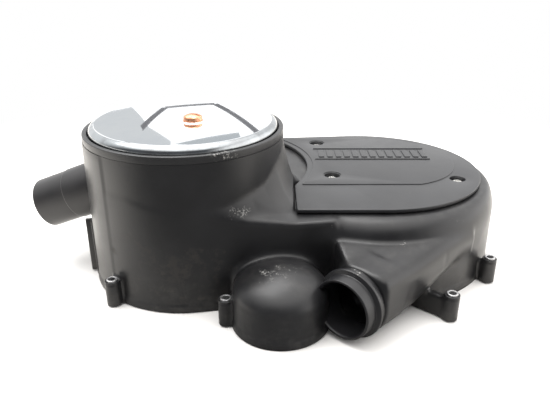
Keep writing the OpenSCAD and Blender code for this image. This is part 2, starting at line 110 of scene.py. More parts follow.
# %% [markdown]
# ## Camera
# The camera stands in front and a little to the right, looking slightly down, with a normal
# lens. It is placed first, so every later piece can be judged from the same spot.
# %% Place the camera
CAMERA_AT = (86.9, -537.2, 301.7)
LOOK_DOWN = 23.8
camera_data = bpy.data.cameras.new("camera")
camera = bpy.data.objects.new("camera", camera_data)
bpy.context.scene.collection.objects.link(camera)
camera.location = AXIS + MM * np.array(CAMERA_AT)
camera.rotation_euler = (math.radians(90 - LOOK_DOWN), 0, 0)
camera_data.lens = 37.67
camera_data.sensor_width = 36
camera_data.clip_start = 0.01
bpy.context.scene.camera = camera


# %% [markdown]
# ## From arrays to meshes
# Every new surface below is a numpy array of points. A mesh only needs those points and the
# corner numbers of its faces, which foreach_set copies in one go. Long lists in Python would
# give the same mesh, only much more slowly.
# %% Mesh helper
def build(name, points, quads, material, body, replaced=(), sharp=35):
    """Mesh object from points in mm round the drum axis and an (n, 3) or (n, 4) face array."""
    mesh = bpy.data.meshes.new(name)
    sides = quads.shape[1]
    mesh.vertices.add(len(points))
    mesh.vertices.foreach_set("co", (AXIS + MM * points).astype(np.float32).ravel())
    mesh.loops.add(quads.size)
    mesh.loops.foreach_set("vertex_index", quads.astype(np.int32).ravel())
    mesh.polygons.add(len(quads))
    mesh.polygons.foreach_set("loop_start", np.arange(0, quads.size, sides, dtype=np.int32))
    mesh.update(calc_edges=True)
    mesh.validate()
    thing = bpy.data.objects.new(name, mesh)
    bpy.context.scene.collection.objects.link(thing)
    finish_piece(thing, material, body, replaced, sharp)
    return thing


def smooth(thing, sharp=35):
    """Shade a piece smooth, except at edges sharper than an angle in degrees."""
    thing.data.shade_smooth()
    thing.data.set_sharp_from_angle(angle=math.radians(sharp))


def finish_piece(thing, material, body, replaced=(), sharp=35):
    """Shade a piece, give it its material and put it on its body."""
    smooth(thing, sharp)
    thing.data.materials.clear()
    thing.data.materials.append(material)
    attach(thing, body)
    if replaced:
        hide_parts(*replaced)


def clean(thing, gap=1e-6):
    """Merge doubled points, drop faces that collapsed and turn the rest outwards."""
    bm = bmesh.new()
    bm.from_mesh(thing.data)
    bmesh.ops.remove_doubles(bm, verts=bm.verts, dist=gap)
    bmesh.ops.dissolve_degenerate(bm, dist=gap, edges=bm.edges)
    bmesh.ops.recalc_face_normals(bm, faces=bm.faces)
    bm.to_mesh(thing.data)
    bm.free()
    thing.data.update()


def apply_modifiers(thing):
    """Replace a mesh by its evaluated copy, so no modifier is left live."""
    graph = bpy.context.evaluated_depsgraph_get()
    shaped = bpy.data.meshes.new_from_object(thing.evaluated_get(graph))
    thing.modifiers.clear()
    thing.data = shaped


# %% [markdown]
# ## Turned pieces
# Rings, necks, screws and the cap are all turned shapes: a profile of radius and height carried
# round an axis. The profile is a short list of corners, and each corner is rounded by a small
# arc, because a moulded or turned edge is never perfectly sharp and catches a thin highlight.
# %% Profiles carried round an axis
def rounded(corners, radius=0.6, steps=4, closed=True):
    """Corner list with each corner swapped for a quadratic curve that starts radius before it.

    The curve is (1-t)^2 a + 2t(1-t) corner + t^2 b, with a and b on the two sides.
    """
    corners = np.array(corners, float)
    before = np.roll(corners, 1, axis=0) - corners
    after = np.roll(corners, -1, axis=0) - corners
    if not closed:
        before[0] = 0
        after[-1] = 0
    out = []
    for corner, back, on in zip(corners, before, after):
        lengths = [np.linalg.norm(back), np.linalg.norm(on)]
        if min(lengths) < 1e-9:
            out.append(corner[None])
            continue
        reach = min(radius, 0.45 * min(lengths))
        a = corner + back / lengths[0] * reach
        b = corner + on / lengths[1] * reach
        t = np.linspace(0, 1, steps + 1)[:, None]
        out.append((1 - t) ** 2 * a + 2 * t * (1 - t) * corner + t ** 2 * b)
    return np.vstack(out)


def turned(profile, turns=144, closed=True):
    """Points (r cos a, r sin a, z) for each profile point and angle a, and the quads between."""
    profile = np.array(profile, float)
    angle = np.linspace(0, 2 * np.pi, turns, endpoint=False)[:, None]
    r, z = profile[:, 0], profile[:, 1]
    points = np.stack([r * np.cos(angle), r * np.sin(angle), z + 0 * angle], axis=-1)
    return points.reshape(-1, 3), grid_quads(turns, len(profile), True, closed)


def grid_quads(rows, columns, wrap_rows, wrap_columns):
    """Quads of a grid of points, optionally joined from the last row or column to the first."""
    i, j = np.meshgrid(np.arange(rows if wrap_rows else rows - 1),
                       np.arange(columns if wrap_columns else columns - 1), indexing="ij")
    i2, j2 = (i + 1) % rows, (j + 1) % columns
    quads = np.stack([i * columns + j, i2 * columns + j, i2 * columns + j2, i * columns + j2], -1)
    return quads.reshape(-1, 4)


def aimed(points, start, direction):
    """Points whose own z axis is laid along a direction and whose origin moves to start."""
    z = np.array(direction, float) / np.linalg.norm(direction)
    side = np.cross(z, (0, 0, 1)) if abs(z[2]) < 0.99 else np.array([1.0, 0, 0])
    x = side / np.linalg.norm(side)
    return np.array(start) + points @ np.stack([x, np.cross(z, x), z])


def turned_piece(name, corners, material, body, start=(0, 0, 0), direction=(0, 0, 1),
                 radius=0.6, turns=144, closed=True, replaced=(), sharp=35, steps=4):
    """A turned mesh piece. An open profile must begin and end on the axis."""
    profile = rounded(corners, radius, steps, closed)
    points, quads = turned(profile, turns, closed)
    thing = build(name, aimed(points, start, direction), quads, material, body, replaced,
                  sharp)
    clean(thing)
    smooth(thing, sharp)
    return thing


# %% [markdown]
# ## Finishes
# Grain, scuffs and dust turn up on more than one piece, so each is a small node group with
# named sockets, built once and placed in every material with its own values. The shader itself
# stays in the material. All patterns read object coordinates, which are metres.
# %% Node helpers
def group(name, sockets_in, sockets_out):
    """Empty node group with named sockets; returns the group and its input and output nodes."""
    tree = bpy.data.node_groups.new(name, "ShaderNodeTree")
    for label, kind, value in sockets_in:
        socket = tree.interface.new_socket(label, in_out="INPUT", socket_type="NodeSocket" + kind)
        if value is not None:
            socket.default_value = value
    for label, kind in sockets_out:
        tree.interface.new_socket(label, in_out="OUTPUT", socket_type="NodeSocket" + kind)
    return tree, tree.nodes.new("NodeGroupInput"), tree.nodes.new("NodeGroupOutput")


def feed(tree, socket, value):
    """Link an input socket to another node's output, or set it to a plain value."""
    if isinstance(value, bpy.types.NodeSocket):
        tree.links.new(value, socket)
    else:
        socket.default_value = value


def node(tree, kind, links=(), **settings):
    """A node with its settings, its numbered or named inputs set or linked."""
    made = tree.nodes.new("ShaderNode" + kind)
    for key, value in settings.items():
        setattr(made, key, value)
    for socket, value in dict(links).items():
        feed(tree, made.inputs[socket], value)
    return made


def maths(tree, operation, a, b=0.0, clamp=False):
    """Output of one Math node."""
    return node(tree, "Math", {0: a, 1: b}, operation=operation, use_clamp=clamp).outputs[0]


def noise(tree, vector, scale, detail=3.0, rough=0.55):
    """Output value of a noise texture at a scale in cycles per metre."""
    return node(tree, "TexNoise", {"Vector": vector, "Scale": scale, "Detail": detail,
                                   "Roughness": rough}).outputs[0]


def step_up(tree, value, low, high):
    """Smooth 0 to 1 as a value passes from low to high."""
    made = node(tree, "MapRange", {"Value": value, "From Min": low, "From Max": high},
                interpolation_type="SMOOTHSTEP")
    return made.outputs[0]


def mixed(tree, factor, a, b):
    """Colour mixed from a to b by a factor."""
    made = tree.nodes.new("ShaderNodeMix")
    made.data_type = "RGBA"
    for number, value in ((0, factor), (6, a), (7, b)):
        feed(tree, made.inputs[number], value)
    return made.outputs[2]


# %% Shared effects
def make_grain():
    """Fine moulded grain: two noises, one for the tiny pebble and one for slow cloudiness."""
    tree, given, out = group("grain", [("Vector", "Vector", None), ("Size", "Float", 900.0),
                                       ("Cloud Size", "Float", 22.0)],
                             [("Height", "Float"), ("Cloud", "Float")])
    fine = noise(tree, given.outputs["Vector"], given.outputs["Size"], 2.0)
    cloud = noise(tree, given.outputs["Vector"], given.outputs["Cloud Size"], 4.0, 0.6)
    tree.links.new(fine, out.inputs["Height"])
    tree.links.new(step_up(tree, cloud, 0.35, 0.68), out.inputs["Cloud"])
    return tree


def make_scuff():
    """Patch of light scratches: specks cut from noise, kept inside a soft ball.

    Stretch squeezes the ball along each axis, and Fine below 1 makes the specks coarser.
    """
    tree, given, out = group("scuff", [("Vector", "Vector", None), ("Centre", "Vector", None),
                                       ("Radius", "Float", 0.02), ("Amount", "Float", 0.5),
                                       ("Stretch", "Vector", (1, 1, 1)),
                                       ("Fine", "Vector", (1, 1, 1))], [("Mask", "Float")])
    away = node(tree, "VectorMath", {0: given.outputs["Vector"], 1: given.outputs["Centre"]},
                operation="SUBTRACT").outputs[0]
    away = node(tree, "VectorMath", {0: away, 1: given.outputs["Stretch"]},
                operation="MULTIPLY").outputs[0]
    far = node(tree, "VectorMath", {0: away}, operation="LENGTH").outputs["Value"]
    reach = maths(tree, "DIVIDE", far, given.outputs["Radius"])
    ball = step_up(tree, reach, 1.0, 0.25)
    where = node(tree, "VectorMath", {0: given.outputs["Vector"], 1: given.outputs["Fine"]},
                 operation="MULTIPLY").outputs[0]
    specks = noise(tree, where, 650.0, 4.0, 0.7)
    blots = noise(tree, where, 130.0, 3.0, 0.6)
    both = maths(tree, "ADD", maths(tree, "MULTIPLY", specks, 0.6),
                 maths(tree, "MULTIPLY", blots, 0.4))
    bar = maths(tree, "SUBTRACT", 0.74, maths(tree, "MULTIPLY", given.outputs["Amount"],
                                             maths(tree, "MULTIPLY", ball, 0.22)))
    cut = node(tree, "MapRange", {"Value": both, "From Min": bar,
                                  "From Max": maths(tree, "ADD", bar, 0.09)}).outputs[0]
    tree.links.new(maths(tree, "MULTIPLY", cut, ball, True), out.inputs["Mask"])
    return tree


def make_dust():
    """Pale dust that settles low down and on faces that look up, broken up by noise."""
    tree, given, out = group("dust", [("Vector", "Vector", None), ("Normal", "Vector", None),
                                      ("Low", "Float", 0.0), ("High", "Float", 0.05),
                                      ("Amount", "Float", 0.3)], [("Mask", "Float")])
    height = node(tree, "SeparateXYZ", {0: given.outputs["Vector"]}).outputs["Z"]
    up = node(tree, "SeparateXYZ", {0: given.outputs["Normal"]}).outputs["Z"]
    low = node(tree, "MapRange", {"Value": height, "From Min": given.outputs["High"],
                                  "From Max": given.outputs["Low"]}).outputs[0]
    base = maths(tree, "MAXIMUM", low, maths(tree, "MULTIPLY", step_up(tree, up, 0.6, 1.0), 0.5))
    patch = noise(tree, given.outputs["Vector"], 55.0, 6.0, 0.7)
    mask = maths(tree, "MULTIPLY", base, step_up(tree, patch, 0.42, 0.72))
    tree.links.new(maths(tree, "MULTIPLY", mask, given.outputs["Amount"], True),
                   out.inputs["Mask"])
    return tree


GRAIN, SCUFF, DUST = make_grain(), make_scuff(), make_dust()


# %% [markdown]
# ### One plastic, several pieces
# The housing, the deck plate and the tube are the same kind of plastic at different polish, so
# one function makes them all. It starts from a nearly black base, adds cloudiness to colour and
# polish, a fine pebble to the surface, and mixes scuffs and dust in as paler, rougher patches.
# %% Plastic
def use(tree, effect, **values):
    """Place a node group and set or link its named inputs."""
    made = tree.nodes.new("ShaderNodeGroup")
    made.node_tree = effect
    for label, value in values.items():
        feed(tree, made.inputs[label.replace("_", " ").title()], value)
    return made


def blank(name, **values):
    """Material with a Principled shader whose plain sockets hold the given values."""
    material = bpy.data.materials.new(name)
    material.use_nodes = True
    shader = material.node_tree.nodes["Principled BSDF"]
    for label, value in values.items():
        shader.inputs[label.replace("_", " ").title().replace("Ior", "IOR")].default_value = value
    return material, material.node_tree, shader


def bump(tree, shader, height, strength, distance):
    """Bump node from a height to the shader's normal."""
    made = node(tree, "Bump", {"Height": height, "Strength": strength, "Distance": distance})
    tree.links.new(made.outputs[0], shader.inputs["Normal"])


def spot(x, y, z):
    """A place in mm round the drum axis as row metres, for a pattern's centre."""
    return tuple(AXIS + MM * np.array((x, y, z), float))


GREY = (0.20, 0.198, 0.19)  # the tones of scuffs: worn to grey, rubbed nearly white, dried film
LIGHT = (0.42, 0.41, 0.39)
FILM = (0.027, 0.0245, 0.023)
FILM_COARSENESS = 0.16


def plastic(name, colour, polish, scuffs=(), dust=0.0, dust_high=0.05, grain=0.12,
            cloud=0.10, ior=1.45, size=1100.0):
    """Moulded plastic with grain, cloudy polish, scuffs at given places and dust."""
    material, tree, shader = blank(name, ior=ior)
    place = tree.nodes.new("ShaderNodeTexCoord").outputs["Object"]
    normal = tree.nodes.new("ShaderNodeNewGeometry").outputs["Normal"]
    fine = use(tree, GRAIN, vector=place, size=size)
    base = np.array(colour)
    tone = mixed(tree, fine.outputs["Cloud"], (*base * 0.86, 1), (*base * 1.22, 1))
    rough = maths(tree, "MULTIPLY_ADD", fine.outputs["Cloud"], cloud)
    rough.node.inputs[2].default_value = polish
    for centre, radius, amount, stretch, pale in scuffs:
        coarse = FILM_COARSENESS if pale is FILM else 1.0
        mark = use(tree, SCUFF, vector=place, centre=centre, radius=radius, amount=amount,
                   stretch=stretch, fine=(coarse, coarse, coarse)).outputs["Mask"]
        tone = mixed(tree, mark, tone, (*pale, 1))
        rough = maths(tree, "ADD", rough, maths(tree, "MULTIPLY", mark, 0.2), True)
    if dust:
        pale = use(tree, DUST, vector=place, normal=normal, low=0.0, high=dust_high,
                   amount=dust).outputs["Mask"]
        tone = mixed(tree, pale, tone, (0.30, 0.285, 0.26, 1))
        rough = maths(tree, "ADD", rough, maths(tree, "MULTIPLY", pale, 0.25), True)
    tree.links.new(tone, shader.inputs["Base Color"])
    tree.links.new(rough, shader.inputs["Roughness"])
    bump(tree, shader, fine.outputs["Height"], grain, 0.0004)
    return material


# each scuff: centre, radius in metres, amount, squeeze along each axis, tone
HOUSING_SCUFFS = [
    (spot(57, -82, 95), 0.024, 0.9, (0.8, 1.2, 2.0), GREY),
    (spot(86, -114, 54), 0.027, 0.95, (0.8, 1, 1), GREY),
    (spot(106, -102, 55), 0.022, 0.8, (1, 1, 1), GREY),
    (spot(200, -84, 68), 0.010, 0.9, (1, 1, 1), LIGHT),
    (spot(150, -72, 82), 0.060, 0.55, (0.5, 2.2, 2.5), GREY),
    (spot(255, -52, 80), 0.050, 0.6, (0.7, 1.2, 2.5), GREY),
    (spot(15, -95, 38), 0.085, 1.12, (0.8, 1, 1.2), FILM),
    (spot(-50, -80, 45), 0.065, 1.05, (1, 1, 0.8), FILM)]
housing_plastic = plastic("housing_plastic", (0.0115, 0.0115, 0.0125), 0.31, HOUSING_SCUFFS,
                          dust=0.10, dust_high=0.045)
TUBE_SCUFFS = [(spot(-118, -6, 98), 0.03, 0.45, (1, 1, 1), LIGHT)]
tube_plastic = plastic("tube_plastic", (0.016, 0.0155, 0.0165), 0.34, TUBE_SCUFFS, grain=0.06)
COLLAR_SCUFFS = [(spot(155, -124, 62), 0.017, 0.95, (1, 1, 1), LIGHT)]
neck_plastic = plastic("neck_plastic", (0.013, 0.013, 0.0145), 0.34, COLLAR_SCUFFS)


# %% [markdown]
# ### Metals and rubber
# The cap is a mirror with the faintest scratches. The screw on it was coppered and has dulled
# unevenly. Zinc screws and turned sleeves are rougher, with a cloudy polish.
# %% Metals and rubber
def metal(name, colour, polish, dull, cloud_size=120.0, spread=0.12, scratch=0.02, size=900.0):
    """Metal whose colour drifts to a duller tone and whose polish is cloudy."""
    material, tree, shader = blank(name, metallic=1.0)
    place = tree.nodes.new("ShaderNodeTexCoord").outputs["Object"]
    fine = use(tree, GRAIN, vector=place, size=size, cloud_size=cloud_size)
    tone = mixed(tree, fine.outputs["Cloud"], (*colour, 1), (*dull, 1))
    rough = maths(tree, "MULTIPLY_ADD", fine.outputs["Cloud"], spread)
    rough.node.inputs[2].default_value = polish
    tree.links.new(tone, shader.inputs["Base Color"])
    tree.links.new(rough, shader.inputs["Roughness"])
    bump(tree, shader, fine.outputs["Height"], scratch, 0.0002)
    return material


def rubber(name, colour, rough=0.75, grain=0.25):
    """Dull rubber with a slightly dusty bloom."""
    return plastic(name, colour, rough, grain=grain, cloud=0.1, dust=0.04, size=1500.0)


chrome = metal("chrome", (0.93, 0.945, 0.96), 0.035, (0.88, 0.9, 0.93), 30.0, 0.02, 0.004)
# Darker chrome for the cap's rolled edge: its darker colour is painted shade for the dark ring at the
# cap's edge, and its higher roughness is a duller polish.
roll_chrome_painted_shade = metal("chrome_roll_painted_shade", (0.40, 0.425, 0.44), 0.10, (0.28, 0.29, 0.30), 60.0, 0.1, 0.01)
copper = metal("copper", (0.85, 0.45, 0.27), 0.28, (0.42, 0.2, 0.12), 260.0, 0.25, 0.15)
zinc = metal("zinc", (0.86, 0.86, 0.85), 0.2, (0.66, 0.65, 0.62), 300.0, 0.22, 0.1)
turned_steel = metal("turned_steel", (0.62, 0.62, 0.63), 0.3, (0.4, 0.4, 0.4), 240.0, 0.2, 0.1)
sheet_steel = metal("sheet_steel", (0.66, 0.67, 0.68), 0.34, (0.5, 0.5, 0.51), 60.0, 0.12, 0.06)
brass = metal("brass", (0.78, 0.57, 0.25), 0.26, (0.5, 0.35, 0.15), 200.0, 0.2, 0.08)
black_rubber = rubber("black_rubber", (0.012, 0.012, 0.0125))
gasket_sheet = rubber("gasket_sheet", (0.02, 0.02, 0.021), 0.85, 0.4)
end_ring_rubber = rubber("end_ring_rubber", (0.03, 0.03, 0.032), 0.6)
floor_plastic = plastic("floor_plastic", (0.03, 0.03, 0.033), 0.45)


# %% Filter foam
def make_foam():
    """Oiled open-cell foam: small Voronoi cells in a dull green grey, with painted shade darkening
    the pores.
    """
    material, tree, shader = blank("foam", roughness=0.95)
    place = tree.nodes.new("ShaderNodeTexCoord").outputs["Object"]
    cells = node(tree, "TexVoronoi", {"Vector": place, "Scale": 620.0}).outputs["Distance"]
    cloud = noise(tree, place, 30.0, 3.0)
    # painted shade: each cell's middle, the pore, is darkened to 0.05, while the struts round it keep
    # the paler green grey
    tone = mixed(tree, step_up(tree, cells, 0.1, 0.55), (0.05, 0.055, 0.04, 1),
                 (0.22, 0.23, 0.16, 1))
    tone = mixed(tree, step_up(tree, cloud, 0.4, 0.7), tone, (0.15, 0.14, 0.09, 1))
    tree.links.new(tone, shader.inputs["Base Color"])
    bump(tree, shader, cells, 0.7, 0.0012)
    return material


foam = make_foam()
print("materials", len(bpy.data.materials), "groups", len(bpy.data.node_groups))


# %% [markdown]
# ## The black moulding
# The housing flows: the drum runs into the deck in a wide sweep, the bulge and the duct grow out
# of the wall, and every edge is soft. Joining separate solids would leave hard seams, and
# modelling the sweeps by hand takes long. A distance field joins them instead: each shape gives
# its signed distance, negative inside, and a smooth minimum melts neighbours together.
# %% Distance helpers
def melt(a, b, k):
    """Smooth union: min(a, b) less a quadratic fillet where the two differ by less than k."""
    h = np.clip(0.5 + 0.5 * (b - a) / k, 0, 1)
    return b + (a - b) * h - k * h * (1 - h)


def trim(a, b, k):
    """Smooth intersection, the same fillet on max(a, b)."""
    return -melt(-a, -b, k)


def belt(x, y, c1, r1, c2, r2):
    """Distance to the outline round two circles: their two arcs and outer tangents."""
    x, y = x - c1[0], y - c1[1]
    bx, by = c2[0] - c1[0], c2[1] - c1[1]
    h = bx * bx + by * by
    qx, qy = np.abs(x * by - y * bx) / h, (x * bx + y * by) / h
    b = r1 - r2
    cx = np.sqrt(np.maximum(h - b * b, 1e-6))
    cross, along, reach = cx * qy - b * qx, cx * qx + b * qy, qx * qx + qy * qy
    out = along - r1
    out = np.where(cross < 0, np.sqrt(h * reach) - r1, out)
    return np.where(cross > cx, np.sqrt(h * (reach + 1 - 2 * qy)) - r2, out)


def ease(low, high, x):
    """Cubic step from 0 at low to 1 at high."""
    t = np.clip((x - low) / (high - low), 0, 1)
    return t * t * (3 - 2 * t)


def segment(p, a, b):
    """Distance of points to the line piece from a to b."""
    a, b = np.array(a, float), np.array(b, float)
    run = b - a
    t = np.clip(((p - a) @ run) / (run @ run), 0, 1)
    return np.linalg.norm(p - a - t[..., None] * run, axis=-1)


# %% [markdown]
# ### Shapes of the housing
# The deck is not flat beside the drum: it sweeps up the drum's wall, highest on the right and
# hardly at all in front, and a ledge slopes along the front edge. Both are one height above the
# deck, as a function of place, so one smooth intersection gives the whole top. The four lists
# give the sweep's rise, run and power at some directions round the drum, in degrees.
# %% Height of the deck
FLARE_TURNS = np.radians([-180, -100, -82, -70, -58, -46, -36, -24, -8, 20, 60, 100, 140, 180])
FLARE_RISES = np.array([4, 2, 3, 6, 8, 12, 20, 40, 51, 52, 40, 22, 10, 6.0])
FLARE_RUNS = np.array([25, 12, 6, 7, 9, 13, 20, 26, 26, 26, 26, 26, 26, 25.0])
FLARE_POWERS = np.array([2.5, 1.6, 1.8, 2, 2, 2, 1.8, 2, 2.6, 2.8, 2.8, 2.8, 2.8, 2.5])
LEDGE_RISE, LEDGE_FALL, LEDGE_MOST, LEDGE_BACK, LEDGE_FRONT = 13.8, 0.13, 16, -30, -62
EDGE_AT, EDGE_SKEW = (14.6, -93.4), 0.157
LEAN, LEAN_END, LEAN_RUN = 0.5, 104, 50


def deck_height(x, y):
    """Deck height: 83 plus rise * (1 - t)^power near the drum, plus the ledge along the front.

    The ledge falls by LEDGE_FALL per mm to the right, and at its left end it also leans towards
    the front edge, by LEAN per mm behind that edge.
    """
    turn = np.arctan2(y, x)
    rise = np.interp(turn, FLARE_TURNS, FLARE_RISES)
    run = np.interp(turn, FLARE_TURNS, FLARE_RUNS)
    power = np.interp(turn, FLARE_TURNS, FLARE_POWERS)
    t = np.clip((np.hypot(x, y) - DRUM_R) / run, 0, 1)
    inside = np.clip(y - EDGE_AT[1] - EDGE_SKEW * (x - EDGE_AT[0]), 0, LEDGE_MOST)
    lean = LEAN * np.clip((LEAN_END - x) / LEAN_RUN, 0, 1) * inside
    ramp = np.clip(LEDGE_RISE - LEDGE_FALL * x, 0, LEDGE_MOST)
    ledge = (ramp + lean) * ease(LEDGE_BACK, LEDGE_FRONT, y)
    return DECK_Z + rise * (1 - t) ** power + ledge


# %% Outline of the access plate
PLATE_C, PLATE_R, PLATE_LEFT_R = np.array([190.0, 57.0]), 116.0, 98.0
PLATE_ARC_C, PLATE_ARC_R, PLATE_LEFT_X, PLATE_NOTCH_Y = np.array([-10.0, 65.0]), 132.5, 107.0, 2.0


def plate_field(x, y):
    """Distance to the plate's outline: belt and front block, less the arc round the drum."""
    front = PLATE_C[1] - PLATE_R
    block = np.maximum.reduce([PLATE_LEFT_X - x, x - PLATE_C[0], front - y, y - PLATE_C[1]])
    whole = np.minimum(belt(x, y, LEFT_C, PLATE_LEFT_R, PLATE_C, PLATE_R), block)
    arc = PLATE_ARC_R - np.hypot(x - PLATE_ARC_C[0], y - PLATE_ARC_C[1])
    return np.maximum(whole, np.where(y < PLATE_NOTCH_Y, PLATE_LEFT_X - x, arc))


# %% The housing as a distance field
BED_GAP = 2.3  # how far the deck's bed reaches past the plate
LIP = 1.0  # how far the foot's lip stands out
FLANK_END, FLANK_R = np.array([138.0, -68.0]), 6.0
DUCT_SIDE = np.array([0.670, -0.742, 0.0])
DUCT_LEFT, DUCT_LEFT_AT = np.array([-0.985, -0.174, 0.0]), (144.5, -95, 0)
DUCT_TOP, DUCT_TOP_RISE, DUCT_FOOT, DUCT_FOOT_RISE, DUCT_BACK = 60.5, 6, 5, 20, -50
CHANNEL_LOW, CHANNEL_HIGH, CHANNEL_R = (246.5, -88.5, 30), (246.5, -88.5, 62), 7.5
# each web: the point it runs towards, its length, and the number of its boss; front bosses first
WEBS = [((0, 0), 12, 0), ((60, -78), 24, 2), ((206, -72), 46, 4), ((188, 48), 16, 6),
        ((0, 40), 16, 1), ((44, 120), 16, 3), ((200, 60), 16, 5), ((188, 48), 16, 7)]


def drum_field(x, y, z):
    """Drum wall, with the step of the mould's split line on its left side."""
    rho, turn = np.hypot(x, y), np.degrees(np.arctan2(y, x)) % 360
    step = 0.9 * ease(230.5, 228.0, turn) * ease(186, 200, turn) * ease(146, 138, z)
    return rho - DRUM_R - step


def case_field(x, y, z):
    """Belt case: an outline that leans in over the shoulder, under the swept deck."""
    lean = np.clip((z - DECK_Z + SHOULDER_H) / SHOULDER_H, 0, 0.995)
    lean = 1 - np.sqrt(1 - lean ** 2)
    right = (RIGHT_C[0] + 2 * lean, RIGHT_C[1] + 9 * lean)
    wall = belt(x, y, LEFT_C, LEFT_R - LIP - 4 * lean, right, RIGHT_R - LIP - 9 * lean)
    flank = belt(x, y, (0, 0), DRUM_R - 0.5, FLANK_END, FLANK_R)
    walls = melt(wall, flank, 8)
    top = (z - deck_height(x, y)) * 0.8
    return trim(walls, top, 3.5)


def bulge_field(x, y, z):
    """Bulge: an upright drum with an ellipsoid on top."""
    up = np.maximum(z - BULGE_WALL_H, 0)
    dx, dy = x - BULGE_C[0], y - BULGE_C[1]
    k0 = np.sqrt((dx * dx + dy * dy) / BULGE_R ** 2 + up * up / BULGE_DOME_H ** 2)
    k1 = np.sqrt((dx * dx + dy * dy) / BULGE_R ** 4 + up * up / BULGE_DOME_H ** 4)
    return k0 * (k0 - 1) / np.maximum(k1, 1e-6)


def duct_field(p, z):
    """Duct: a wedge from the wall to the neck, its left edge crisp and its right one soft."""
    away = p - NECK_ROOT
    top = z - (DUCT_TOP + DUCT_TOP_RISE * ease(-118, -66, p[..., 1]))
    side = away @ DUCT_SIDE - NECK_R - 1.5
    left = (p - DUCT_LEFT_AT) @ DUCT_LEFT
    front = away @ NECK_DIR - 0.5
    back = p[..., 1] - DUCT_BACK
    under = DUCT_FOOT + DUCT_FOOT_RISE * ease(-118, -55, p[..., 1]) - z
    box = trim(trim(trim(side, under, 30), top, 15), trim(left, front, 6), 4)
    box = trim(box, back, 3)
    along = away @ NECK_DIR
    stub = np.linalg.norm(away - along[..., None] * NECK_DIR, axis=-1) - NECK_R - 1.6
    stub = trim(stub, np.maximum(along - 0.5, -along - 24), 2)
    return melt(box, stub, 7)


def boss_fields(p, z):
    """Bosses and the webs that tie them to the wall, with a small fillet."""
    out = None
    flat = p[..., :2]
    for target, length, which in WEBS:
        boss = BOSSES[which][:2]
        heading = (np.array(target) - boss) / np.linalg.norm(np.array(target) - boss)
        column = np.linalg.norm(flat - boss, axis=-1) - BOSS_R + 0.1
        t = np.clip((flat - boss) @ heading, 0, length)
        web = np.linalg.norm(flat - boss - t[..., None] * heading, axis=-1) - 4.2
        one = melt(trim(column, z - BOSS_H + 0.2, 1.2), trim(web, z - BOSS_H + 5, 3), 3)
        out = one if out is None else np.minimum(out, one)
    return out


def housing_field(p):
    """Signed distance of the whole outer skin, open downwards."""
    x, y, z = p[..., 0], p[..., 1], p[..., 2]
    skin = melt(case_field(x, y, z), drum_field(x, y, z), 2.5)
    skin = melt(skin, bulge_field(x, y, z), 9)
    skin = melt(skin, duct_field(p, z), 3.5)
    channel = segment(p, CHANNEL_LOW, CHANNEL_HIGH) - CHANNEL_R
    skin = trim(skin, -channel, 2.0) - 0.95 * LIP * ease(8.4, 7.4, z)
    skin = melt(skin, boss_fields(p, z), 3)
    bed = np.maximum(plate_field(x, y) - BED_GAP, DECK_Z - z)
    return trim(skin, -bed, 1.0)


# %% [markdown]
# ### From field to skin
# Marching the field on a grid finds where it changes sign. Surface nets put one point in each
# crossed cell and one quad round each crossed grid edge, which gives even, square faces. The
# points are then slid along the field's slope until the field is zero, so the grid leaves no
# steps behind and a coarse grid still gives a smooth skin.
# %% Surface nets in numpy
def net(field, low, high, step):
    """Points and quads of the zero level of a field over a box, on a grid of the given step."""
    axes = [np.arange(a, b + step, step) for a, b in zip(low, high)]
    grid = np.stack(np.meshgrid(*axes, indexing="ij"), axis=-1)
    inside = field(grid) < 0
    corners = [inside[i:inside.shape[0] - 1 + i, j:inside.shape[1] - 1 + j,
                      k:inside.shape[2] - 1 + k] for i in (0, 1) for j in (0, 1) for k in (0, 1)]
    count = sum(c.astype(np.int8) for c in corners)
    live = (count > 0) & (count < 8)
    number = np.full(live.shape, -1)
    number[live] = np.arange(live.sum())
    points = np.array(low) + (np.argwhere(live) + 0.5) * step
    quads = []
    for d in range(3):
        e, f = (d + 1) % 3, (d + 2) % 3
        first, second = [slice(None)] * 3, [slice(None)] * 3
        first[d], second[d] = slice(0, -1), slice(1, None)
        crossed = inside[tuple(first)] != inside[tuple(second)]
        keep = [slice(None)] * 3
        keep[e], keep[f] = slice(1, -1), slice(1, -1)
        at = np.argwhere(crossed[tuple(keep)])
        at[:, e] += 1
        at[:, f] += 1
        out = inside[tuple(first)][tuple(at.T)]
        ring = []
        for de, df in ((-1, -1), (0, -1), (0, 0), (-1, 0)):
            cell = at.copy()
            cell[:, e] += de
            cell[:, f] += df
            ring.append(number[tuple(cell.T)])
        ring = np.stack(ring, axis=1)
        ring[~out] = ring[~out][:, ::-1]
        quads.append(ring)
    return points, np.vstack(quads)


def slope(field, points, h=0.05):
    """Gradient of a field by central differences."""
    out = np.empty_like(points)
    for d in range(3):
        shift = np.zeros(3)
        shift[d] = h
        out[:, d] = (field(points + shift) - field(points - shift)) / (2 * h)
    return out


def settle(field, points, quads, rounds=3):
    """Relax each point towards its neighbours' mean, then slide it back onto the zero level."""
    pairs = np.vstack([quads[:, [0, 1]], quads[:, [1, 2]], quads[:, [2, 3]], quads[:, [3, 0]]])
    for turn in range(rounds + 2):
        if turn < rounds:
            total, weight = np.zeros_like(points), np.zeros(len(points))
            np.add.at(total, pairs[:, 0], points[pairs[:, 1]])
            np.add.at(weight, pairs[:, 0], 1)
            np.add.at(total, pairs[:, 1], points[pairs[:, 0]])
            np.add.at(weight, pairs[:, 1], 1)
            points = 0.4 * points + 0.6 * total / np.maximum(weight, 1)[:, None]
        g = slope(field, points)
        value = field(points)
        move = value / np.maximum((g * g).sum(1), 0.05)
        points = points - np.clip(move, -3, 3)[:, None] * g
    return points


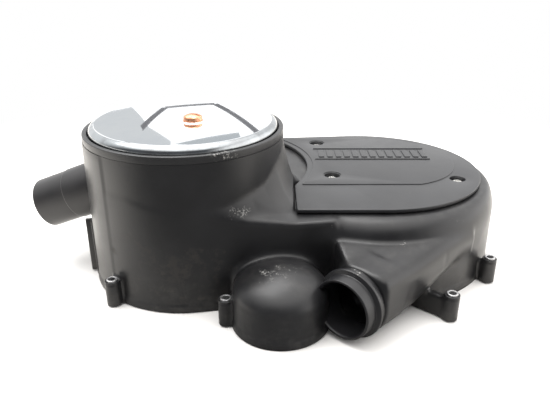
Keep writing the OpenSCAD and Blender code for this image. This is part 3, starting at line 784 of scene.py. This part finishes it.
# %% [markdown]
# ### Skin, holes and wall
# The net gives a closed-looking skin that runs on below the base. The round holes are punched
# by moving the points at their edge onto the true circle, the skin is cut level at the gasket
# and at the rim, and a solidify modifier then gives the moulding its 3 mm wall.
# %% Cut, punch and thicken
RIM_CUT = 143.0
GRID = 2.2
NET_LOW, NET_HIGH = (-118, -162, -6), (326, 198, 156)


def punch(points, quads, start, direction, radius, reach):
    """Drop quads inside a round hole and move the points next to it onto the hole's circle."""
    direction = np.array(direction, float) / np.linalg.norm(direction)
    away = points - start
    along = away @ direction
    across = away - along[:, None] * direction
    off = np.linalg.norm(across, axis=1)
    near = (along > reach[0]) & (along < reach[1])
    quads = quads[~((off < radius) & near)[quads].any(axis=1)]
    edges = np.sort(np.vstack([quads[:, [i, (i + 1) % 4]] for i in range(4)]), axis=1)
    edges, uses = np.unique(edges, axis=0, return_counts=True)
    rim = np.zeros(len(points), bool)
    rim[edges[uses == 1].ravel()] = True
    rim &= near & (off < radius + 2.2 * GRID)
    points = points.copy()
    points[rim] -= across[rim] * (1 - radius / off[rim])[:, None]
    return points, quads


def cut_level(thing, height, keep_below):
    """Cut a mesh with a level plane and drop what lies on one side."""
    bm = bmesh.new()
    bm.from_mesh(thing.data)
    bmesh.ops.bisect_plane(bm, geom=bm.verts[:] + bm.edges[:] + bm.faces[:], dist=1e-6,
                           plane_co=(0, 0, height * MM), plane_no=(0, 0, 1),
                           clear_outer=keep_below, clear_inner=not keep_below)
    loose = [v for v in bm.verts if not v.link_faces]
    bmesh.ops.delete(bm, geom=loose, context="VERTS")
    bm.to_mesh(thing.data)
    bm.free()


WINDOW, WINDOW_R = (203.0, 84.0), 56.0
POCKET_R = 10.5
TUBE_ROOT = from_row(mounts["inlet_tube_end"]["pos_m"])
TUBE_ROOT = TUBE_ROOT - TUBE_DIR * (TUBE_LEN - 18)

points, quads = net(housing_field, NET_LOW, NET_HIGH, GRID)
points = settle(housing_field, points, quads)
points, quads = punch(points, quads, TUBE_ROOT, TUBE_DIR, TUBE_SEAL_R, (-16, 30))
points, quads = punch(points, quads, NECK_ROOT, NECK_DIR, NECK_R - WALL, (-6, 8))
points, quads = punch(points, quads, (*WINDOW, DECK_Z), (0, 0, 1), WINDOW_R, (-5, 5))
for centre in SCREWS:
    points, quads = punch(points, quads, (*centre[:2], DECK_Z), (0, 0, 1), POCKET_R, (-5, 5))
for centre in BOSSES:
    points, quads = punch(points, quads, (*centre[:2], BOSS_H), (0, 0, 1), SLEEVE_R, (-3, 3))
housing = build("housing_shell", points, quads, housing_plastic, "housing",
                ["main_housing", "filter_drum"])
clean(housing)
cut_level(housing, GASKET_T, keep_below=False)
cut_level(housing, RIM_CUT, keep_below=True)
thicken = housing.modifiers.new("wall", "SOLIDIFY")
thicken.thickness = WALL * MM
thicken.offset = -1
apply_modifiers(housing)
finish_piece(housing, housing_plastic, "housing", (), 50)
print("housing", len(housing.data.polygons), "faces")

# %% [markdown]
# ## Rim, ledges and neck
# The round details of the moulding are turned separately, with crisp but rounded edges that a
# field on a grid would blur: the drum's rim with the seat for the cap, the ledge that carries
# the chamber floor, the neck with its raised ring, and the walls of the bosses.
# %% Rim and floor ledge
RIM_MARKS = [(spot(-25, -90, 150), 0.026, 0.7, (1, 1, 2), LIGHT),
             (spot(45, -80, 150), 0.036, 0.85, (1, 1, 2), LIGHT),
             (spot(88, -28, 150), 0.026, 0.6, (1, 1, 2), GREY)]
# A paler copy of the housing plastic: its lighter base colour is painted highlight on the drum's rim
# and on the wall ridge. The rim marks on it are real scuffs.
rim_plastic_scuffed_painted_highlight = plastic("rim_plastic_scuffed_painted_highlight", (0.020, 0.020, 0.021), 0.34, RIM_MARKS, grain=0.1)
SEAT_R, LEDGE_R, SEAT_Z = 90.5, 86.0, 145.5
RIM_CORNERS = [(DRUM_R, RIM_CUT), (DRUM_R, DRUM_H), (SEAT_R, DRUM_H), (SEAT_R, SEAT_Z),
               (LEDGE_R, SEAT_Z), (LEDGE_R, SEAT_Z - WALL), (DRUM_R - WALL, RIM_CUT - 1)]
turned_piece("drum_rim", RIM_CORNERS, rim_plastic_scuffed_painted_highlight, "housing", radius=0.9,
             turns=288)
turned_piece("floor_ledge", [(93, 45), (93, 49), (78, 49), (78, 45)], housing_plastic, "housing",
             radius=0.5)


# %% Many turned copies in one mesh
def turned_group(name, corners, places, material, body, radius=0.4, turns=64, closed=True,
                 replaced=(), steps=3, sharp=35):
    """The same turned profile at several places on the XY plane, joined in one mesh."""
    profile = rounded(corners, radius, steps, closed)
    points, quads = turned(profile, turns, closed)
    shifts = np.array([(*p[:2], 0) for p in places])
    everything = (points[None] + shifts[:, None]).reshape(-1, 3)
    faces = (quads[None] + np.arange(len(places))[:, None, None] * len(points)).reshape(-1, 4)
    thing = build(name, everything, faces, material, body, replaced, sharp)
    clean(thing)
    smooth(thing, sharp)
    return thing


FOOT_Z = 1.6  # just over the base gasket
BOSS_WALL_R, BOSS_WALL_TOP = BOSS_R - 0.2, BOSS_H - 1
turned_group("boss_walls", [(BOSS_WALL_R, FOOT_Z), (BOSS_WALL_R, BOSS_WALL_TOP),
                            (SLEEVE_R, BOSS_WALL_TOP), (SLEEVE_R, FOOT_Z)],
             BOSSES, housing_plastic, "housing")
SLEEVE_BORE_R, SLEEVE_TOP = 3.2, 27.6
turned_group("mount_sleeve_tubes", [(SLEEVE_R, 0), (SLEEVE_R, SLEEVE_TOP),
                                    (SLEEVE_BORE_R, SLEEVE_TOP), (SLEEVE_BORE_R, 0)],
             BOSSES, turned_steel, "housing", replaced=["mount_sleeves"])

# %% Neck
NECK_BORE_R, COLLAR_R = 24.0, 31.0
turned_piece("outlet_neck", [(NECK_BORE_R, -1.5), (NECK_R + 1.6, -1.5), (NECK_R + 1.8, 6.6),
                             (COLLAR_R, 8.2), (COLLAR_R, 11.2), (NECK_R, 12.4), (NECK_R, NECK_LEN),
                             (NECK_BORE_R + 0.7, NECK_LEN), (NECK_BORE_R, NECK_LEN - 2)],
             neck_plastic, "housing", NECK_ROOT, NECK_DIR, radius=0.8, turns=160,
             steps=5)

# %% [markdown]
# ## Small upright mouldings
# The fin under the tube, the ribs and the raised fields of the plate are flat shapes with soft
# edges. One function lofts them: an outline is repeated at several heights, drawn in a little
# at the bottom and top along a quarter circle, and capped with a flat fill.
# %% Lofted slabs
def outline(corners, radius=1.0, steps=5):
    """Closed outline with rounded corners, as points counter-clockwise."""
    ring = rounded(corners, radius, steps)
    x, y = ring[:, 0], ring[:, 1]
    area = (x * np.roll(y, -1) - np.roll(x, -1) * y).sum()
    return ring if area > 0 else ring[::-1]


def drawn_in(ring, depth):
    """Ring moved inwards by a depth along the mean normal of the two sides at each point."""
    side = np.roll(ring, -1, axis=0) - ring
    side /= np.maximum(np.linalg.norm(side, axis=1), 1e-9)[:, None]
    normal = np.stack([-side[:, 1], side[:, 0]], axis=1)
    normal += np.roll(normal, 1, axis=0)
    normal /= np.maximum(np.linalg.norm(normal, axis=1), 1e-9)[:, None]
    return ring + depth * normal


def loft(ring, low, high, soft, steps=4):
    """Points and faces of a slab: side rings whose edges follow a quarter circle of radius soft."""
    turn = np.linspace(0, np.pi / 2, steps + 1)
    inset = np.concatenate([soft * (1 - np.sin(turn)), soft * (1 - np.cos(turn))])
    height = np.concatenate([low + soft * (1 - np.cos(turn)), high - soft * (1 - np.sin(turn))])
    rings = [np.column_stack([drawn_in(ring, d), np.full(len(ring), h)])
             for d, h in zip(inset, height)]
    points = np.vstack(rings)
    return points, grid_quads(len(rings), len(ring), False, True)[:, ::-1]


def capped(bm, rim_sets):
    """Fill flat caps between the open rims of a bmesh, one set of rims at a time."""
    for height in rim_sets:
        rims = [e for e in bm.edges if e.is_boundary
                and abs(e.verts[0].co.z - height) < 1e-6 and abs(e.verts[1].co.z - height) < 1e-6]
        bmesh.ops.triangle_fill(bm, edges=rims, use_beauty=True, use_dissolve=False)


def slab(name, rings, low, high, soft, material, body, holes=(), replaced=(), sharp=35):
    """Flat piece from one or more outlines, with round-edged holes, standing from low to high."""
    points, faces, start = [], [], 0
    for ring in [*rings, *(hole[::-1] for hole in holes)]:
        p, q = loft(ring, low, high, soft)
        points.append(p)
        faces.append(q + start)
        start += len(p)
    thing = build(name, np.vstack(points), np.vstack(faces), material, body, replaced, sharp)
    bm = bmesh.new()
    bm.from_mesh(thing.data)
    capped(bm, (low * MM, high * MM))
    bmesh.ops.recalc_face_normals(bm, faces=bm.faces)
    bm.to_mesh(thing.data)
    bm.free()
    smooth(thing, sharp)
    return thing


def circle(centre, radius, turns=72):
    """Counter-clockwise circle."""
    angle = np.linspace(0, 2 * np.pi, turns, endpoint=False)
    return np.array(centre)[:2] + radius * np.column_stack([np.cos(angle), np.sin(angle)])


def bar(start, end, width):
    """Corners of a straight bar between two points."""
    start, end = np.array(start, float), np.array(end, float)
    run = (end - start) / np.linalg.norm(end - start)
    side = np.array([-run[1], run[0]]) * width / 2
    return [start - side, end - side, end + side, start + side]


# %% Fin under the tube, and the ridge in front of it
def wall_rib(name, turn, end_r, width, top, material):
    """Upright rib on the drum's wall, at an angle in degrees, out to a radius."""
    way = np.array([math.cos(math.radians(turn)), math.sin(math.radians(turn))])
    ring = outline(bar(92.5 * way, end_r * way, width), 1.4)
    slab(name, [ring], FOOT_Z, top, 1.2, material, "housing")


wall_rib("tube_fin", 190, 103.6, 3.4, 59.6, housing_plastic)
# The ridge takes the paler rim plastic, so the highlight along it is painted.
wall_rib("wall_ridge", 196, 97.6, 3.0, 62, rim_plastic_scuffed_painted_highlight)

# %% [markdown]
# ## Inlet tube
# A plain tube pushed into the drum's wall. Its outer end is a turned lip, and its inner end
# follows the drum's wall: each line along the tube stops where it meets the wall's inside, which
# is the smaller root of a quadratic, solved for all lines at once.
# %% Tube with a fitted end
def fitted_tube():
    """Turned tube whose inner end lies on the cylinder of the drum's inside."""
    corners = [(TUBE_R - 3, -8), (TUBE_R + TUBE_STEP, -8), (TUBE_R + TUBE_STEP, TUBE_LEN - TUBE_GRIP),
               (TUBE_R, TUBE_LEN - TUBE_GRIP + 0.6), (TUBE_R, TUBE_LEN), (TUBE_R - 3, TUBE_LEN)]
    local, quads = turned(rounded(corners, 1.1, 4), 160)
    flat = local * (1, 1, 0)
    base = aimed(flat, TUBE_ROOT, TUBE_DIR)
    a = TUBE_DIR[0] ** 2 + TUBE_DIR[1] ** 2
    b = base[:, 0] * TUBE_DIR[0] + base[:, 1] * TUBE_DIR[1]
    c = base[:, 0] ** 2 + base[:, 1] ** 2 - (DRUM_R - WALL) ** 2
    wall = (-b + np.sqrt(np.maximum(b * b - a * c, 0))) / a
    along = np.where(local[:, 2] < 0, wall, local[:, 2])
    points = base + along[:, None] * TUBE_DIR
    thing = build("inlet_tube_body", points, quads, tube_plastic, "housing",
                  ["inlet_tube"])
    clean(thing)
    finish_piece(thing, tube_plastic, "housing")


fitted_tube()

# %% [markdown]
# ## Cap, seal and screw
# The cap is pressed from thin sheet and chromed: a shallow dome that rolls over at its edge. Its
# profile is a parabola from the middle to the flat radius and a quarter ellipse down the roll,
# run back on the inside at the sheet's thickness.
# %% Chromed cap
CAP_R, CAP_FLAT_R, CAP_EDGE_Z, CAP_T = 89.4, 82.4, 147.5, 1.5
CAP_ROLL, CAP_DOME = (7.0, 6.5), 3.0


def cap_side(drop):
    """Radius and height along the cap from its middle to its edge, lowered by the sheet's drop."""
    u = np.linspace(0, 1, 40)
    dome = np.column_stack([CAP_FLAT_R * u, DRUM_H + CAP_ROLL[1] + CAP_DOME * (1 - u * u) - drop])
    a = np.linspace(0, np.pi / 2, 16)[1:]
    roll = np.column_stack([CAP_FLAT_R + (CAP_ROLL[0] - drop) * np.sin(a),
                            DRUM_H + (CAP_ROLL[1] - drop) * np.cos(a)])
    return np.vstack([dome, roll])


cap_profile = np.vstack([cap_side(0), [(CAP_R, CAP_EDGE_Z + 0.3), (CAP_R - 0.3, CAP_EDGE_Z),
                                       (CAP_R - 1.2, CAP_EDGE_Z)], cap_side(CAP_T)[::-1]])
cap_points, cap_quads = turned(cap_profile, 288, False)
cap = build("chromed_cap", cap_points, cap_quads, chrome, "cap", ["cap"])
clean(cap)
finish_piece(cap, chrome, "cap")
# The rolled edge gets the darker chrome, painted shade for the dark ring between cap and rim.
cap.data.materials.append(roll_chrome_painted_shade)
for face in cap.data.polygons:
    away = face.center - Vector((*AXIS[:2], 0))
    face.material_index = int(away.xy.length > (CAP_FLAT_R + 1.5) * MM)
turned_piece("cap_seal_ring", [(89.2, 145.5), (89.4, 147.5), (87.2, 147.5), (87, 145.5)],
             black_rubber, "housing", radius=0.6, turns=200, replaced=["cap_seal"])


# %% [markdown]
# ## Screw heads
# A head is a height over a disc: a flattened dome less a recess. The recess is the distance to a
# slot or to a hexagon, passed through a soft step, so the same grid makes both kinds.
# %% Heads and shanks
def hexagon(x, y):
    """Distance to a hexagon about the origin, less its half width: the largest of three sides."""
    return np.maximum.reduce([np.abs(x * math.cos(t) + y * math.sin(t))
                              for t in np.radians([0, 60, 120])])


def screw(name, place, radius, low, height, recess, depth, shank, shank_low, material, body,
          replaced):
    """Domed head with a recess, its side, and a shank, as one closed turned surface."""
    ring = np.concatenate([np.linspace(0, 0.62, 26), np.linspace(0.66, 1, 12)]) * radius
    dome = low + height * (0.42 + 0.58 * np.sqrt(np.maximum(1 - (ring / radius) ** 2, 0)))
    side = [(radius, low + 0.3), (radius - 0.3, low), (shank, low), (shank, shank_low + 0.5),
            (shank - 0.5, shank_low), (0, shank_low)]
    profile = np.vstack([np.column_stack([ring, dome]), side])
    points, quads = turned(profile, 144, False)
    on_top = np.tile(np.arange(len(profile)) < len(ring), 144)
    cut = ease(0.22, -0.22, recess(points[:, 0], points[:, 1])) * on_top
    points[:, 2] -= cut * np.maximum(points[:, 2] - (low + height - depth), 0)
    thing = build(name, points + (*place[:2], 0), quads[:, ::-1], material, body, replaced)
    clean(thing)
    finish_piece(thing, material, body)


CAP_HEAD_Z = 160.7
screw("cap_screw_body", CAP_SCREW, radius=8.7, low=CAP_HEAD_Z, height=5.29,
      recess=lambda x, y: np.abs(y * 0.94 + x * 0.34) - 0.95, depth=2.2, shank=3.0,
      shank_low=123.5, material=copper, body="cap_screw",
      replaced=["cap_screw"])
turned_group("cap_washer", [(9.2, 159.9), (9.2, 160.7), (3.4, 160.7), (3.4, 159.9)], [CAP_SCREW],
             copper, "cap", 0.25, replaced=["cap_screw_washer"])
turned_group("cap_pad", [(10.5, 157.4), (10.5, 159.9), (3.4, 159.9), (3.4, 157.4)], [CAP_SCREW],
             chrome, "cap", 0.8)
for i, place in enumerate(SCREWS, 1):
    turn = 0.4 + 1.3 * i
    screw(f"plate_screw_{i}_body", place, radius=5.5, low=82.0, height=3.6,
          recess=lambda x, y, t=turn: hexagon(x * math.cos(t) - y * math.sin(t),
                                              x * math.sin(t) + y * math.cos(t)) - 2.25,
          depth=2.3, shank=2.5, shank_low=69.5, material=zinc, body=f"plate_screw_{i}",
          replaced=[f"plate_screw_{i}"])
turned_group("plate_washer_rings", [(6.4, 81), (6.4, 82), (2.9, 82), (2.9, 81)], SCREWS, zinc,
             "access_plate", 0.25, replaced=["plate_washers"])
turned_group("insert_sleeves", [(4, 69), (4, 79), (2.58, 79), (2.58, 69)], SCREWS, brass,
             "housing", 0.3, replaced=["plate_inserts"])
turned_group("insert_bosses", [(13, 68), (13, 79.5), (10.6, 79.5), (10.6, 79), (4, 79), (4, 68)],
             SCREWS, housing_plastic, "housing", 0.5)

# %% [markdown]
# ## Access plate
# The plate's outline is a few arcs and lines: the round right end, the straight back, an arc
# that keeps clear of the drum, a notch, and a straight front. Recessed wells hold its screws, and
# a raised field and a row of plain ribs stiffen it.
# %% Outline of the plate
def arc(centre, radius, start, end, steps):
    """Points on an arc from a start to an end angle in degrees."""
    angle = np.radians(np.linspace(start, end, steps))
    return np.array(centre) + radius * np.column_stack([np.cos(angle), np.sin(angle)])


def crossing(centre, radius, point, way):
    """Where the line from a point along a direction leaves a circle."""
    way = np.array(way) / np.linalg.norm(way)
    away = np.array(point) - centre
    along = -away @ way + math.sqrt((away @ way) ** 2 - away @ away + radius ** 2)
    return np.array(point) + along * way


def plate_ring(inset, arc_steps=90):
    """The plate's outline drawn in by an inset, counter-clockwise from its front left corner."""
    r, left_r = PLATE_R - inset, PLATE_LEFT_R - inset
    lean = math.degrees(math.asin((r - left_r) / (PLATE_C[0] - LEFT_C[0])))
    right = arc(PLATE_C, r, -90, 90 + lean, arc_steps)
    tangent = arc(LEFT_C, left_r, 90 + lean, 90 + lean, 1)[0]
    top = crossing(PLATE_ARC_C, PLATE_ARC_R + inset, tangent, right[-1] - tangent)
    up = math.degrees(math.atan2(*(top - PLATE_ARC_C)[::-1]))
    notch_y = PLATE_NOTCH_Y + inset * 0.4
    down = math.degrees(math.asin((notch_y - PLATE_ARC_C[1]) / (PLATE_ARC_R + inset)))
    left = arc(PLATE_ARC_C, PLATE_ARC_R + inset, up, down, arc_steps // 2)
    corner = np.array([PLATE_LEFT_X + inset, PLATE_C[1] - r])
    return np.vstack([soften(corner + (0, 8), corner, corner + (8, 0), 2.5), right,
                      soften(right[-1], top, left[1], 2.0), left[1:-1],
                      soften(left[-2], left[-1], corner + (0, 8), 1.2)])


def soften(before, corner, after, reach, steps=6):
    """Quadratic curve that rounds one corner, starting reach before it."""
    before, corner, after = (np.array(p, float) for p in (before, corner, after))
    a = corner + (before - corner) / np.linalg.norm(before - corner) * reach
    b = corner + (after - corner) / np.linalg.norm(after - corner) * reach
    t = np.linspace(0, 1, steps)[:, None]
    return (1 - t) ** 2 * a + 2 * t * (1 - t) * corner + t ** 2 * b


PLATE_Z, PLATE_T, RECESS_R = 84.0, 3.5, 8.0
PLATE_TOP = PLATE_Z + PLATE_T
plate_plastic = plastic("plate_plastic", (0.021, 0.0215, 0.0235), 0.33, [
    (spot(150, 20, 88), 0.030, 0.35, (1, 1, 1), GREY),
    (spot(262, -20, 88), 0.020, 0.5, (1, 1, 1), GREY)], dust=0.03, dust_high=0.001, cloud=0.07)
slab("access_plate_panel", [plate_ring(0)], PLATE_Z, PLATE_TOP, 0.7, plate_plastic, "access_plate",
     [circle(p, RECESS_R) for p in SCREWS], ["top_plate"], 40)
turned_group("screw_wells", [(2.9, 79), (9.9, 79), (9.9, PLATE_Z + 0.6), (RECESS_R, PLATE_Z + 0.6),
                             (RECESS_R, 81), (2.9, 81)], SCREWS, plate_plastic, "access_plate",
             0.6)
slab("plate_seal_strip", [plate_ring(1.5)], DECK_Z, PLATE_Z, 0.2, black_rubber, "housing",
     [plate_ring(6.5)], ["plate_seal"])

# %% Raised field and ribs
FIELD_T = 0.8


def field_ring():
    """Outline of the raised field: arc beside the drum, straight back, round right end."""
    left = arc(PLATE_ARC_C, PLATE_ARC_R + 6, 44, -27, 40)
    right = arc((206.0, 78.0), 80.0, -69, 90, 50)
    return np.vstack([left[:-1], soften(left[-2], (113.5, 3), (150, 3), 3), right])


slab("plate_field", [field_ring()], PLATE_TOP - 0.2, PLATE_TOP + FIELD_T, 0.5, plate_plastic,
     "access_plate",
     [circle(p, RECESS_R + 1.2) for p in (SCREWS[0], SCREWS[2])], (), 40)
RIB_Z = PLATE_TOP + FIELD_T
ribs = [outline(bar((x, 86), (x, 110), 6.4), 1.2) for x in np.arange(140, 258, 9.8)]
ribs += [outline(bar((132, 79.5), (262, 79.5), 1.6), 0.6),
         outline(bar((132, 116.5), (262, 116.5), 1.6), 0.6)]
slab("plate_ribs", ribs, RIB_Z - 0.2, RIB_Z + 0.9, 0.4, plate_plastic, "access_plate",
     (), (), 40)

# %% [markdown]
# ## Inside the drum
# Everything under the cap is turned or flat: the rubber end rings, the oiled foam, the
# perforated cage, the retainer and the post that takes the cap's screw. The pieces whose CAD
# shape is already right only get their finish.
# %% Filter and post
turned_piece("foam_sleeve", [(49.2, 56.5), (72, 56.5), (72, 133), (49.2, 133)], foam, "filter",
             radius=2.0, turns=160, replaced=["filter_foam"])
for name, low, high in (("bottom", 53.5, 56.5), ("top", 133, 136)):
    turned_piece(f"{name}_end_ring", [(46.5, low), (72.6, low), (74, low + 0.6), (74, high - 0.6),
                                      (72.6, high), (66, high), (64.5, high - 0.6), (55, high - 0.6),
                                      (53.5, high), (46.5, high)], end_ring_rubber, "filter",
                 radius=0.5, turns=144, replaced=[f"filter_{name}_ring"])
turned_group("post", [(0, 44.5), (6, 44.5), (6, 145.5), (5, 146.5), (3.08, 146.5), (3.08, 121.5),
                      (0, 121.5)], [CAP_SCREW], zinc, "housing", 0.3, 64, False,
             ["cap_post"])


# %% Finishes of the CAD nodes that stay
def cover(material, *names):
    """Give CAD nodes a finish in their own material slots."""
    for name in names:
        data = nodes[name].data
        for i in range(max(len(data.materials), 1)):
            if data.materials:
                data.materials[i] = material
            else:
                data.materials.append(material)


cover(gasket_sheet, "base_gasket", "floor_gasket")
cover(black_rubber, "inlet_tube_seal")
cover(floor_plastic, "chamber_floor")
cover(zinc, "floor_screws", "post_nut", "cap_screw_clip")
cover(sheet_steel, "filter_cage", "filter_retainer")

# %% [markdown]
# ## Floor and light
# A white sweep and soft light from above and behind give a dark plastic its form: level faces
# mirror the bright top and go grey, upright ones stay nearly black. The floor fades to pure
# white away from the part, and mirrored views of it carry painted shade in front, as if a dark camera
# stand shaded it.
# %% Stage
def make_floor():
    """Large pale floor just under the part, pure white far out, with painted shade in front that only
    mirrored rays see.
    """
    mesh = bpy.data.meshes.new("floor")
    mesh.from_pydata([(-6, -6, 0), (6, -6, 0), (6, 6, 0), (-6, 6, 0)], [], [(0, 1, 2, 3)])
    floor = bpy.data.objects.new("floor", mesh)
    bpy.context.scene.collection.objects.link(floor)
    material, tree, shader = blank("floor_paper", roughness=1.0, specular_ior_level=0.0)
    place = tree.nodes.new("ShaderNodeTexCoord").outputs["Object"]
    far = node(tree, "VectorMath", {0: place}, operation="LENGTH").outputs["Value"]
    seen = tree.nodes.new("ShaderNodeLightPath").outputs["Is Camera Ray"]
    spread = node(tree, "SeparateXYZ", {0: place})
    wide = maths(tree, "MULTIPLY", maths(tree, "ABSOLUTE", spread.outputs["X"]), 0.5)
    # painted shade: mirrored rays see the floor dark (0.17) in front of the part and pale behind and
    # to the sides, as if a camera stand shaded it
    behind = step_up(tree, maths(tree, "ADD", spread.outputs["Y"], wide), -0.22, 0.08)
    mirrored_painted_shade = mixed(tree, behind, (0.17, 0.17, 0.17, 1), (0.93, 0.90, 0.85, 1))
    tone = mixed(tree, seen, mirrored_painted_shade, (0.84, 0.83, 0.815, 1))
    tree.links.new(tone, shader.inputs["Base Color"])
    white = node(tree, "Emission", {"Color": (1, 1, 1, 1), "Strength": 1.0}).outputs[0]
    edge = maths(tree, "MULTIPLY", step_up(tree, far, 0.42, 0.75), seen)
    both = tree.nodes.new("ShaderNodeMixShader")
    tree.links.new(edge, both.inputs[0])
    tree.links.new(shader.outputs[0], both.inputs[1])
    tree.links.new(white, both.inputs[2])
    tree.links.new(both.outputs[0], tree.nodes["Material Output"].inputs["Surface"])
    mesh.materials.append(material)


def make_world():
    """Light by direction: dim low down in front, brighter behind, brightest above and at the right.

    The camera itself sees plain white.
    """
    world = bpy.data.worlds.new("studio")
    bpy.context.scene.world = world
    world.use_nodes = True
    tree = world.node_tree
    back = tree.nodes["Background"]
    way = node(tree, "SeparateXYZ", {0: tree.nodes.new("ShaderNodeTexCoord").outputs["Generated"]})
    lean = maths(tree, "ADD", maths(tree, "MULTIPLY", way.outputs["Z"], 0.6),
                 maths(tree, "MULTIPLY", way.outputs["Y"], 0.75))
    glow = step_up(tree, lean, -0.2, 0.45)
    top = step_up(tree, way.outputs["Z"], 0.5, 0.95)
    tone = mixed(tree, glow, (0.16, 0.165, 0.175, 1), (1.4, 1.4, 1.4, 1))
    side = step_up(tree, way.outputs["X"], 0.5, 0.95)
    tone = mixed(tree, maths(tree, "MAXIMUM", top, side), tone, (3.0, 2.95, 2.9, 1))
    seen = tree.nodes.new("ShaderNodeLightPath").outputs["Is Camera Ray"]
    tree.links.new(mixed(tree, seen, tone, (1, 1, 1, 1)), back.inputs["Color"])
    back.inputs["Strength"].default_value = 1.0


def soft_light(name, place, target, size, power, colour=(1, 1, 1)):
    """Square area light at a place in mm, aimed at a target."""
    data = bpy.data.lights.new(name, "AREA")
    data.size, data.energy, data.color = size, power, colour
    lamp = bpy.data.objects.new(name, data)
    lamp.location = AXIS + MM * np.array(place, float)
    run = np.array(target, float) - np.array(place, float)
    lamp.rotation_euler = Vector(run).to_track_quat("-Z", "Y").to_euler()
    bpy.context.scene.collection.objects.link(lamp)


make_floor()
make_world()
soft_light("overhead", (-300, 300, 1400), (80, 0, 0), 1.2, 24)
bpy.context.scene.view_settings.view_transform = "Standard"


# %% [markdown]
# ### Cards for the mirror
# Chrome shows only its surroundings. A few grey cards and thin rods behind the part, which
# only mirrored rays can see, draw the frame of a lamp and blue-grey edges into the cap.
# %% Cards and rods
def card(name, corners, tone):
    """Flat card between four points in mm, seen by mirrored rays only."""
    mesh = bpy.data.meshes.new(name)
    mesh.from_pydata([tuple(AXIS + MM * np.array(c, float)) for c in corners], [], [(0, 1, 2, 3)])
    thing = bpy.data.objects.new(name, mesh)
    bpy.context.scene.collection.objects.link(thing)
    material = bpy.data.materials.new(name)
    material.use_nodes = True
    tree = material.node_tree
    tree.nodes.clear()
    glow = node(tree, "Emission", {"Color": (*tone, 1), "Strength": 1.0})
    out = tree.nodes.new("ShaderNodeOutputMaterial")
    tree.links.new(glow.outputs[0], out.inputs["Surface"])
    mesh.materials.append(material)
    thing.visible_camera = thing.visible_diffuse = thing.visible_shadow = False


def rod(name, start, end, width, tone):
    """Thin upright card between two points, turned to face the part."""
    start, end = np.array(start, float), np.array(end, float)
    across = np.cross(end - start, (0, 1, 0.25))
    across *= width / 2 / np.linalg.norm(across)
    card(name, [start - across, end - across, end + across, start + across], tone)


FRAME_CORNERS = [(-234, 497, 469), (-159, 711, 279), (-42, 742, 262), (104, 577, 438)]
ROD_WIDTH, ROD_TONE = 17, (0.22, 0.22, 0.23)
for i, (start, end) in enumerate(zip(FRAME_CORNERS, FRAME_CORNERS[1:])):
    rod(f"lamp_rod_{i}", start, end, ROD_WIDTH, ROD_TONE)
PALE, BLUE_GREY = (0.66, 0.68, 0.69), (0.50, 0.53, 0.55)
CARDS = {
    "left_card": (PALE, [(-345, 600, 280), (-240, 713, 251), (-184, 609, 381), (-250, 500, 420)]),
    "low_left_card": (PALE, [(-330, 560, 330), (-184, 612, 385), (-124, 553, 447), (-122, 480, 520)]),
    "front_card": (BLUE_GREY, [(-121, 538, 458), (34, 604, 414), (46, 560, 455), (-120, 490, 500)]),
    "right_card": (PALE, [(48, 586, 434), (125, 650, 372), (135, 600, 420), (56, 540, 470)])}
for name, (tone, corners) in CARDS.items():
    card(name, corners, tone)
